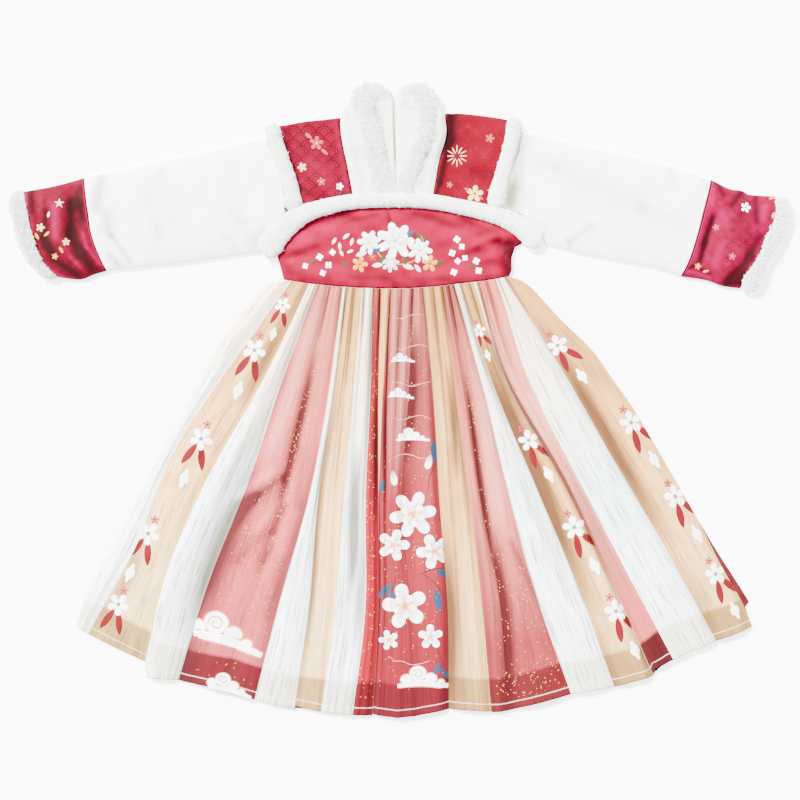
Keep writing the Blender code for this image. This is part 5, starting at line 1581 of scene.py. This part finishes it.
def print_bloom(marks, bloom):
    """A double blossom of the central panel, with its stamens."""
    x, y, size, turn, petals = bloom
    marks.flower(x, y, size, turn, petals, "white", "gold", 3, "rose")
    marks.flower(x, y, size * 0.54, turn + 30, petals, "white", "gold", 5, "blush")
    for stamen in range(5):
        spot = np.array([x, y]) + heading(turn + stamen * 72) * (size * 0.16)
        marks.add("disc", *spot, 2, 2, 0, "gold", 8)


def print_skirt(points, rows):
    """Sprigs, clouds, blossoms and flecks of gold printed on the skirt."""
    marks = Marks(points, lift=0.14, stripes=skirt_stripes(rows, len(points) - 1))
    marks.only = ("beige", "tan")
    for sprig in SPRIGS:
        print_sprig(marks, sprig)
    for cloud in CLOUDS:
        marks.only = cloud.cloths
        marks.cloud(cloud.x, cloud.y, cloud.size, cloud.turn, "white", cloud.curl)
    marks.only = ("centre",)
    for height in WAVE_HEIGHTS:
        wave = [(-10 + 12 * step, height + 3 * math.sin(step * 1.7 + height)) for step in range(5)]
        marks.line(wave, 0.6, "blush")
    for spray in SPRAYS:
        marks.spray(spray.x, spray.y, spray.turn, spray.size, "blue", "dark")
    for bloom in BLOOMS:
        print_bloom(marks, bloom)
    for x, y, turn in LOOSE_PETALS:
        marks.add("petal", x, y, 20, 11, turn + 180, "white", 2, "rose")
    for seed, area in enumerate(FLECK_AREAS, 81):
        marks.only = (area.cloth,)
        marks.flecks(area[1:5], area.count, "gold", seed)
    return marks.finish("skirt_print", "skirt_front")


Stitch = namedtuple("Stitch", "kind x y size turn ink heart", defaults=("",))
# Embroidered blossoms and leaves: on the chest band, the yokes and the cuffs
STITCHES = named(Stitch, {
    "chest_band_front": [
        ("flower4", -100, 178, 8, 10, "white", "red"), ("flower4", -118, 167, 7, 30, "white", "orange"),
        ("flower4", -89, 168, 8, 45, "white", "red"), ("flower4", -96, 158, 7, 20, "white", "orange"),
        ("flower4", -84, 184, 7, 5, "white", "red"), ("flower5", -50, 169, 17, 0, "gold", "orange"),
        ("flower5", -34, 178, 9, 20, "orange", "gold"), ("leaf", -82, 198, 10, 60, "pearl"),
        ("leaf", -75, 191, 10, 95, "pearl"), ("leaf", -67, 204, 11, 40, "pearl"),
        ("leaf", -60, 197, 10, 75, "pearl"), ("leaf", -62, 185, 9, 20, "pearl"),
        ("leaf", -73, 183, 9, 120, "pearl"), ("leaf", -69, 169, 11, 150, "green"),
        ("flower4", 71, 200, 8, 10, "white", "red"), ("flower4", 77, 191, 7, 40, "white", "orange"),
        ("flower4", 65, 183, 8, 25, "white", "red"), ("flower4", 72, 173, 7, 5, "white", "red"),
        ("flower4", 81, 177, 7, 50, "white", "orange"), ("flower4", 95, 173, 8, 15, "white", "gold"),
        ("flower4", 98, 161, 8, 35, "white", "red"), ("flower4", 67, 159, 8, 20, "white", "gold"),
        ("leaf", 49, 171, 12, 30, "green"), ("leaf", 31, 199, 11, 60, "green"),
        ("leaf", 24, 204, 11, 120, "green"), ("flower5", 37, 170, 18, 10, "gold", "orange"),
        ("leaf", 88, 166, 10, -30, "green"), ("leaf", -108, 172, 9, 200, "green"),
        ("peony", -6, 198, 46, 0, "white", "gold"), ("peony", -38, 196, 30, 20, "white", "gold"),
        ("peony", 25, 186, 30, 50, "white", "orange"), ("peony", -12, 170, 22, 10, "pearl", "gold"),
        ("leaf", -48, 182, 15, 200, "pearl"), ("leaf", -28, 168, 14, 190, "pearl"),
        ("leaf", 10, 166, 15, -20, "pearl"), ("leaf", 22, 164, 12, -50, "pearl"),
        ("leaf", -30, 186, 16, 215, "blue"), ("leaf", -22, 176, 15, 250, "green"),
        ("leaf", 12, 206, 16, 40, "blue"), ("leaf", 6, 172, 14, 290, "green"),
        ("arc", 0, 193, 30, 0, "gold"),
    ],
    "yoke_left": [
        ("flower5", -75, 266, 8, 0, "white", "red"), ("leaf", -74, 257, 8, 80, "dark"),
        ("flower5", -104, 320, 15, 12, "rose", "gold"), ("flower5", -122, 290, 10, 40, "blush", "gold"),
        ("leaf", -94, 309, 11, -40, "rose"), ("leaf", -114, 329, 11, 140, "rose"),
        ("flower5", -98, 272, 9, 25, "rose", "blush"),
    ],
    "yoke_right": [
        ("burst", 71, 304, 28, 0, "pearl", "sand"), ("flower5", 93, 257, 18, 10, "sand", "orange"),
        ("flower5", 112, 326, 10, 0, "rose", "gold"), ("leaf", 84, 262, 9, 150, "rose"),
        ("leaf", 100, 252, 9, -30, "rose"), ("flower5", 62, 268, 7, 0, "rose", "gold"),
    ],
    "cuff_left": [
        ("star", -422.5, 244, 13, 18, "sand"), ("flower5", -446, 214, 9, 0, "sand", "gold"),
        ("leaf", -438, 206, 9, 40, "gold"), ("leaf", -450, 203, 9, 120, "gold"),
        ("flower5", -414, 196, 8, 20, "sand", "gold"), ("leaf", -420, 186, 9, -60, "gold"),
        ("flower5", -428, 178, 7, 0, "gold", "white"), ("leaf", -436, 230, 8, 75, "pearl"),
    ],
    "cuff_right": [
        ("flower5", 429, 239, 11, 0, "white", "deep red"), ("leaf", 463, 229, 9, 72, "gold"),
        ("leaf", 459, 215, 5, 60, "sand"), ("leaf", 462, 251, 7, 10, "gold"),
        ("flower5", 370, 166, 7, 0, "gold", "white"), ("leaf", 380, 160, 8, 10, "gold"),
        ("flower5", 392, 214, 7, 30, "rose", "gold"), ("flower5", 412, 178, 8, 10, "rose", "gold"),
    ],
})


def sew(marks, stitch):
    """One embroidered blossom, leaf, star, burst or arc."""
    kind, x, y, size, turn, ink, heart = stitch
    middle = np.array([x, y])
    if kind == "flower4":
        marks.add("quatrefoil", x, y, size * 1.15, size * 1.15, turn, ink, 1)
        marks.add("disc", x, y, size * 0.34, size * 0.34, 0, heart, 4)
    elif kind == "flower5":
        marks.flower(x, y, size * 1.15, turn, 5, ink, heart)
    elif kind == "peony":
        marks.flower(x, y, size, turn, 7, ink, heart, 0, "grey")
        marks.flower(x, y, size * 0.72, turn + 22, 6, ink, heart, 6, "grey")
        marks.flower(x, y, size * 0.44, turn + 8, 5, "white", heart, 12, "pearl")
    elif kind == "burst":
        for ray in range(12):
            angle = turn + ray * 30
            spot = middle + heading(angle) * (size * (0.33 if ray % 2 else 0.28))
            marks.add("leaf", *spot, size * 0.34, 1.2, angle, heart if ray % 2 else ink)
    elif kind == "arc":
        marks.line([middle + heading(angle) * (size, 0.8 * size) for angle in range(150, 391, 30)], 1.3, ink)
    else:
        marks.add(kind, x, y, size, size if kind == "star" else size * 0.42, turn, ink, 1)


def embroider(solid, grid, slot):
    """The raised blossoms, leaves and stars stitched on one piece."""
    marks = Marks(grid, lift=0.12, dome=0.35)
    for stitch in STITCHES[solid]:
        sew(marks, stitch)
    return marks.finish(solid + "_stitches", slot, 0.45)


Piping = namedtuple("Piping", "cuff name seam offset radius colour")
PIPING = [
    Piping("cuff_left", "piping", CUFF_LEFT_SEAM, -1.9, 0.8, (118, 2, 48)),
    Piping("cuff_left", "seam", CUFF_LEFT_SEAM, -0.5, 0.5, (40, 10, 14)),
    Piping("cuff_right", "piping", CUFF_RIGHT_SEAM, 1.2, 0.9, (72, 4, 18)),
    Piping("cuff_right", "seam", CUFF_RIGHT_SEAM, 3.0, 0.4, (150, 24, 74)),
]
PIPING_STEP = 1.5


def pipe(piping, grid):
    """Piping along a cuff's seam: a thin round cord of the cloth."""
    name = f"{piping.cuff}_{piping.name}"
    path = shifted(piping.seam, piping.offset)
    marks = Marks(grid, 0)
    count = math.ceil(curve_length(smooth_points(path)) / PIPING_STEP)
    centres = []
    for spot in along(path, np.linspace(0.02, 0.98, count)):
        here = marks.drop(spot)
        if here is not None:
            centres.append((*spot, here[0] + piping.radius * 0.4))
    centres = np.array(centres)
    runs = unit(np.gradient(centres, axis=0))
    aside = np.cross(runs, [0, 0, 1])
    over = np.cross(aside, runs)
    angles = np.arange(8) * math.tau / 8
    rings = (centres[:, None] + piping.radius * (aside[:, None] * np.cos(angles)[None, :, None]
                                                 + over[:, None] * np.sin(angles)[None, :, None]))
    material = satin_material(name + "_satin", *[piping.colour] * 4)
    make_mesh(name, rings, grid_faces(*rings.shape[:2], closed=True), material)
    return name


# Fur

def scatter(grid, count, seed, density=1.0):
    """Places and upward normals spread over a grid of points, by a density for each of its cells."""
    draw = np.random.default_rng(seed)
    across = grid[:-1, 1:] - grid[:-1, :-1]
    up = grid[1:, :-1] - grid[:-1, :-1]
    normal = np.cross(across, up).reshape(-1, 3)
    size = np.linalg.norm(normal, axis=1)
    chance = size * np.broadcast_to(density, normal.shape[:1])
    pick = draw.choice(len(size), count, p=chance / chance.sum())
    row, column = np.divmod(pick, grid.shape[1] - 1)
    u, v = draw.random((2, count, 1))
    spot = ((1 - u) * (1 - v) * grid[row, column] + u * (1 - v) * grid[row, column + 1]
            + (1 - u) * v * grid[row + 1, column] + u * v * grid[row + 1, column + 1])
    return spot, normal[pick] / np.maximum(size[pick], 1e-9)[:, None]


def tufts(spots, normals, lock, seed):
    """Bent, tapering locks of fur, gathered into small round puffs: points, faces and the painted shade of
    each point.
    """
    length, width = lock
    draw = np.random.default_rng(seed)
    count = len(spots)
    puffs = max(1, count // PUFF_LOCKS)
    middles = KDTree(puffs)
    for index, spot in enumerate(spots[draw.choice(count, puffs, replace=False)]):
        middles.insert(Vector(spot), index)
    middles.balance()
    found = [middles.find(Vector(spot)) for spot in spots]
    nearest = np.array([place for place, _, _ in found])
    fullness = draw.uniform(0.55, 1.45, puffs)[[index for _, index, _ in found]][:, None]
    away = (spots - nearest) / PUFF_SIZE
    apart = np.linalg.norm(away, axis=1)[:, None]
    way = unit(0.8 * normals + 1.0 * away + draw.normal(0, 0.35, (count, 3)))
    bend = unit(way + 0.5 * away + np.array([0, 0, -0.15]) + draw.normal(0, 0.35, (count, 3)))
    aside = unit(np.cross(way, normals + draw.normal(0, 0.6, (count, 3))))
    facing = (np.cross(aside, way) * (normals + np.array([0, 0, 1]))).sum(axis=1)
    aside *= np.where(facing < 0, -1, 1)[:, None]
    reach = length * fullness * draw.uniform(0.75, 1.1, (count, 1)) * (1.1 - 0.55 * np.clip(apart, 0, 1) ** 2)
    middle = spots + way * reach * 0.6
    tip = middle + bend * reach * 0.45
    root = spots - normals * 0.4
    points = np.stack([root - aside * width / 2, root + aside * width / 2, middle - aside * width * 0.45,
                       middle + aside * width * 0.45, tip], axis=1)
    points[..., 2] = np.maximum(points[..., 2], FUR_FLOOR)
    # Painted shade: deeper away from a puff's middle and at the roots, lighter at the tips
    deep = np.clip(apart - 0.3, 0, 0.8)
    tone = np.concatenate([deep + 0.3, deep + 0.3, deep, deep, deep * 0.5], axis=1)
    start = np.arange(count)[:, None] * 5
    quads = start + np.array([0, 1, 3, 2])
    ends = start + np.array([2, 3, 4])
    return points.reshape(-1, 3), quads, ends, tone.ravel()


def fur_material():
    """White fur, with a cream painted shade deep between its locks."""
    finish = Finish("white_fur", roughness=0.9, sheen=0.25, specular=0.05)
    nap = finish.noise(finish.place, 160.0, 3.0)
    cloth = finish.mix(nap.ramp(0.30, 0.62), linear((255, 255, 254)), linear((255, 255, 255)))
    finish.colour(finish.toned(cloth, (247, 247, 243), (255, 255, 255)))
    return finish.material


def make_fur(name, solids, base_points, base_faces, locks, material):
    """A fur trim: its backing and the locks on it, as one mesh."""
    points, quads, ends, tone = locks
    start = len(base_points)
    faces = base_faces.tolist() + (quads + start).tolist() + (ends + start).tolist()
    thing = make_mesh(name, np.concatenate([base_points, points]), faces, material, solids)
    # The backing lies in half painted shade under its locks
    set_painted_shading(thing, np.concatenate([np.full(start, 0.5), tone]))
    return name


def roll_grid(axis, widths, base, height, rings, seed):
    """A soft lumpy roll along an axis, as rings of points with a flat underside."""
    shares = np.linspace(0, 1, rings)
    spots = along(axis, shares)
    runs = unit(np.gradient(spots, axis=0))
    aside = np.stack([runs[:, 1], -runs[:, 0]], axis=-1)
    widths = np.interp(shares, np.linspace(0, 1, len(widths)), widths)
    near_end = np.minimum(shares, 1 - shares) * curve_length(spots) / (widths * 0.5)
    swell = np.sqrt(np.clip(1 - (1 - np.clip(near_end, 0, 1)) ** 2, 0.12, 1))
    angles = np.linspace(math.pi, 0, 19)
    section = np.stack([np.cos(angles) * 0.5, np.sin(angles) ** 0.8], axis=-1)
    rings_points = []
    lumps = ripples(spots[:, 0], spots[:, 1], 11, seed)
    for place in range(rings):
        wide = widths[place] * swell[place] * (1 + 0.05 * lumps[place])
        tall = height * (0.35 + 0.65 * swell[place]) * (1 + 0.05 * lumps[place])
        ring = [(*(spots[place] + aside[place] * across * wide), base + up * tall) for across, up in section]
        rings_points.append(ring)
    return np.array(rings_points)


FurRoll = namedtuple("FurRoll", "solid axis widths rings locks seed")
# The fur along the chest band and along both yokes
FUR_ROLLS = [
    FurRoll("chest_fur", [(-170, 182)] + CHEST_FUR_AXIS + [(176, 194)], CHEST_PILE_WIDTHS, 150, 46000, 61),
    FurRoll("shoulder_fur_left", SHOULDER_PILE_LEFT_AXIS, SHOULDER_PILE_WIDTHS, 46, 18000, 62),
    FurRoll("shoulder_fur_right", SHOULDER_PILE_RIGHT_AXIS, SHOULDER_PILE_WIDTHS, 46, 18000, 63),
]
CuffFur = namedtuple("CuffFur", "solid left right mouth_on_right seed")
# The fur round both cuffs' openings, between its mouth and its seam
CUFF_FURS = [
    CuffFur("cuff_fur_left", shifted(FUR_LEFT_OUTER, CUFF_FUR_INSET), shifted(CUFF_LEFT_END, -1.0, -0.4),
            False, 71),
    CuffFur("cuff_fur_right", shifted(CUFF_RIGHT_END, 1.0, -0.4), shifted(FUR_RIGHT_OUTER, -CUFF_FUR_INSET),
            True, 72),
]
CUFF_FUR_RINGS = 12
CUFF_FUR_TOP_ROWS = 44
CUFF_FUR_LOW_ROWS = 14
CUFF_FUR_UNDERSIDE = 0.2
# How far above the hollow's floor the edges of its roof are
HOLLOW_EDGE = 0.8


def build_fur_rolls(material):
    """The fur along the chest band and along both yokes."""
    for roll in FUR_ROLLS:
        grid = roll_grid(roll.axis, roll.widths, FUR_ROLL_BASE, FUR_ROLL_HEIGHT - FUR_INSET, roll.rings,
                         roll.seed)
        locks = tufts(*scatter(grid[::-1], roll.locks, roll.seed), TRIM_LOCK, roll.seed)
        make_fur(roll.solid + "_pile", [roll.solid], grid.reshape(-1, 3),
                 grid_faces(*grid.shape[:2], closed=True), locks, material)


def cuff_fur_walls(fur):
    """The rings of points outside and inside the fur round one cuff's opening."""
    across = np.linspace(0, 1, CUFF_FUR_RINGS)
    swell = np.interp(1 - across if fur.mouth_on_right else across, FUR_SHARES, FUR_SWELL)
    shares = round_shares(CUFF_FUR_TOP_ROWS)
    full = tube_fullness(shares)
    upper = between(fur.left, fur.right, across, shares)
    lumps = ripples(upper[..., 0], upper[..., 1], 12, fur.seed)
    rise = (CUFF_FUR_HEIGHT * swell)[None, :] - FUR_INSET - TUBE_EDGE_HEIGHT + 0.5 * lumps
    top = np.dstack([upper, TUBE_EDGE_HEIGHT + rise * full])
    centre = upper.mean(axis=0, keepdims=True)
    top[..., :2] = centre + (upper - centre) * CUFF_FUR_SHRINK
    low = between(fur.left, fur.right, across, np.linspace(0.97, 0.03, CUFF_FUR_LOW_ROWS))
    low = centre + (low - centre) * CUFF_FUR_SHRINK
    outer = np.concatenate([top, np.dstack([low, np.full(low.shape[:2], CUFF_FUR_UNDERSIDE)])])
    within = CUFF_FUR_SIDE * swell / np.linalg.norm(upper[-1] - upper[0], axis=-1)
    inner_shares = within[None, :] + shares[:, None] * (1 - 2 * within[None, :])
    inner_top = np.stack([np.stack([np.interp(inner_shares[:, ring], shares, upper[:, ring, part])
                                    for part in (0, 1)], axis=-1) for ring in range(len(across))], axis=1)
    low_z, high_z = CUFF_FUR_HOLLOW
    inner_z = low_z + HOLLOW_EDGE + (high_z - low_z - HOLLOW_EDGE) * full * np.ones(len(across))[None, :]
    inner_low = inner_top[::-1][::3]
    inner = np.concatenate([np.dstack([inner_top, inner_z]),
                            np.dstack([inner_low, np.full(inner_low.shape[:2], low_z)])])
    return outer.transpose(1, 0, 2), inner.transpose(1, 0, 2)


def cuff_fur_rim(outer, inner, mouth):
    """Three rings of points across the fur's thickness at its mouth, from its outside inwards."""
    places = np.linspace(0, 1, outer.shape[1])
    hollow = np.stack([np.interp(places, np.linspace(0, 1, inner.shape[1]), inner[mouth, :, part])
                       for part in range(3)], axis=-1)
    return np.stack([outer[mouth], (outer[mouth] + hollow) / 2, hollow], axis=0)


def wrapped(rings):
    """The rings of points, each with its first point again at its end."""
    return np.concatenate([rings, rings[:, :1]], axis=1)


def build_cuff_furs(material):
    """The fur round both cuffs' openings."""
    for fur in CUFF_FURS:
        outer, inner = cuff_fur_walls(fur)
        rim = cuff_fur_rim(outer, inner, -1 if fur.mouth_on_right else 0)
        points = np.concatenate([wall.reshape(-1, 3) for wall in (outer, inner, rim)])
        inner_start = outer.shape[0] * outer.shape[1]
        rim_start = inner_start + inner.shape[0] * inner.shape[1]
        faces = np.concatenate([grid_faces(*outer.shape[:2], closed=True)[:, ::-1],
                                grid_faces(*inner.shape[:2], start=inner_start, closed=True),
                                grid_faces(*rim.shape[:2], start=rim_start, closed=True)])
        rim_grid = wrapped(rim) if fur.mouth_on_right else wrapped(rim)[::-1]
        spots, normals = scatter(wrapped(outer)[::-1], CUFF_LOCKS, fur.seed)
        rim_spots, rim_normals = scatter(rim_grid, RIM_LOCKS, fur.seed + 5)
        locks = tufts(np.concatenate([spots, rim_spots]), np.concatenate([normals, rim_normals]), CUFF_LOCK,
                      fur.seed)
        make_fur(fur.solid + "_pile", [fur.solid], points, faces, locks, material)


def build_collar_pile(tops):
    """The fluffier pile of the collar's outer rolls."""
    material = fur_material()
    pieces = {}
    for seed, (name, (grid, dense)) in enumerate(tops.items(), 91):
        spots, normals = scatter(grid, COLLAR_LOCKS, seed, np.maximum(dense, 0.015).ravel())
        backing = np.array([[0, 0, 0], [0.1, 0, 0], [0, 0.1, 0]]) + grid[0, 0] - [0, 0, 1.0]
        pieces[name] = [make_fur(name + "_pile", [], backing, np.array([[0, 1, 2]]),
                                 tufts(spots, normals, COLLAR_LOCK, seed), material)]
    return pieces


def repaint(node, material):
    """Gives a solid's object another material."""
    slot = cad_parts[node].material_slots[0]
    slot.link = "OBJECT"
    slot.material = material


# The view

def build_view():
    """A pale floor, soft light from the upper left and the camera straight above."""
    floor_mesh = bpy.data.meshes.new("floor")
    corners = [(x * FLOOR_REACH, y * FLOOR_REACH, 0) for x, y in ((-1, -1), (1, -1), (1, 1), (-1, 1))]
    floor_mesh.from_pydata(corners, [], [(0, 1, 2, 3)])
    floor = bpy.data.objects.new("floor", floor_mesh)
    bpy.context.scene.collection.objects.link(floor)
    finish = Finish("floor_white", roughness=0.9, specular=0.1)
    finish.colour((254, 254, 254))
    finish.shader.inputs["Emission Color"].default_value = (1.0, 1.0, 1.0, 1.0)
    finish.shader.inputs["Emission Strength"].default_value = FLOOR_GLOW
    floor_mesh.materials.append(finish.material)
    world = bpy.data.worlds.new("studio")
    world.use_nodes = True
    world.node_tree.nodes["Background"].inputs["Color"].default_value = (1.0, 1.0, 1.0, 1.0)
    world.node_tree.nodes["Background"].inputs["Strength"].default_value = SKY_STRENGTH
    bpy.context.scene.world = world
    light = bpy.data.lights.new("key", "SUN")
    light.energy = SUN_STRENGTH
    light.angle = math.radians(SUN_ANGLE)
    lamp = bpy.data.objects.new("key", light)
    lamp.location = SUN_PLACE
    lamp.rotation_euler = (-Vector(SUN_PLACE)).to_track_quat("-Z", "Y").to_euler()
    bpy.context.scene.collection.objects.link(lamp)
    lens = bpy.data.cameras.new("camera")
    lens.lens = CAMERA_LENS
    lens.sensor_width = CAMERA_SENSOR
    camera = bpy.data.objects.new("camera", lens)
    camera.location = (0, 0, CAMERA_HEIGHT)
    bpy.context.scene.collection.objects.link(camera)
    bpy.context.scene.camera = camera


skirt, skirt_rows = build_skirt()
tubes = build_tubes()
band = build_band()
yokes = build_yokes()
collar = build_collar()
fur = fur_material()
build_fur_rolls(fur)
build_cuff_furs(fur)
on_cloth = build_collar_pile(collar)
on_cloth["skirt_front"] = [print_skirt(skirt, skirt_rows)]
on_cloth["chest_band_front"] = [embroider("chest_band_front", band, "chest_band")]
for name, grid in yokes.items():
    on_cloth[name] = [embroider(name, grid, "yoke")]
for name in ("cuff_left", "cuff_right"):
    on_cloth[name] = [embroider(name, tubes[name], "cuff")]
for piping in PIPING:
    on_cloth[piping.cuff].append(pipe(piping, tubes[piping.cuff]))
declare_sheets()
repaint("skirt_back", satin_material("skirt_back_cloth", (62, 12, 20), (84, 30, 32), (40, 6, 8),
                                     (160, 96, 80)))
repaint("skirt_lining", satin_material("lining_cloth", (226, 226, 222), (238, 238, 236), (170, 170, 160),
                                       (245, 245, 245)))
repaint("bodice_back", satin_material("back_satin", (113, 2, 34), (124, 6, 42), (60, 4, 16), (160, 40, 80)))
repaint("collar_back", plush_material("collar_back_plush", (240, 238, 230), (220, 218, 208)))
build_view()
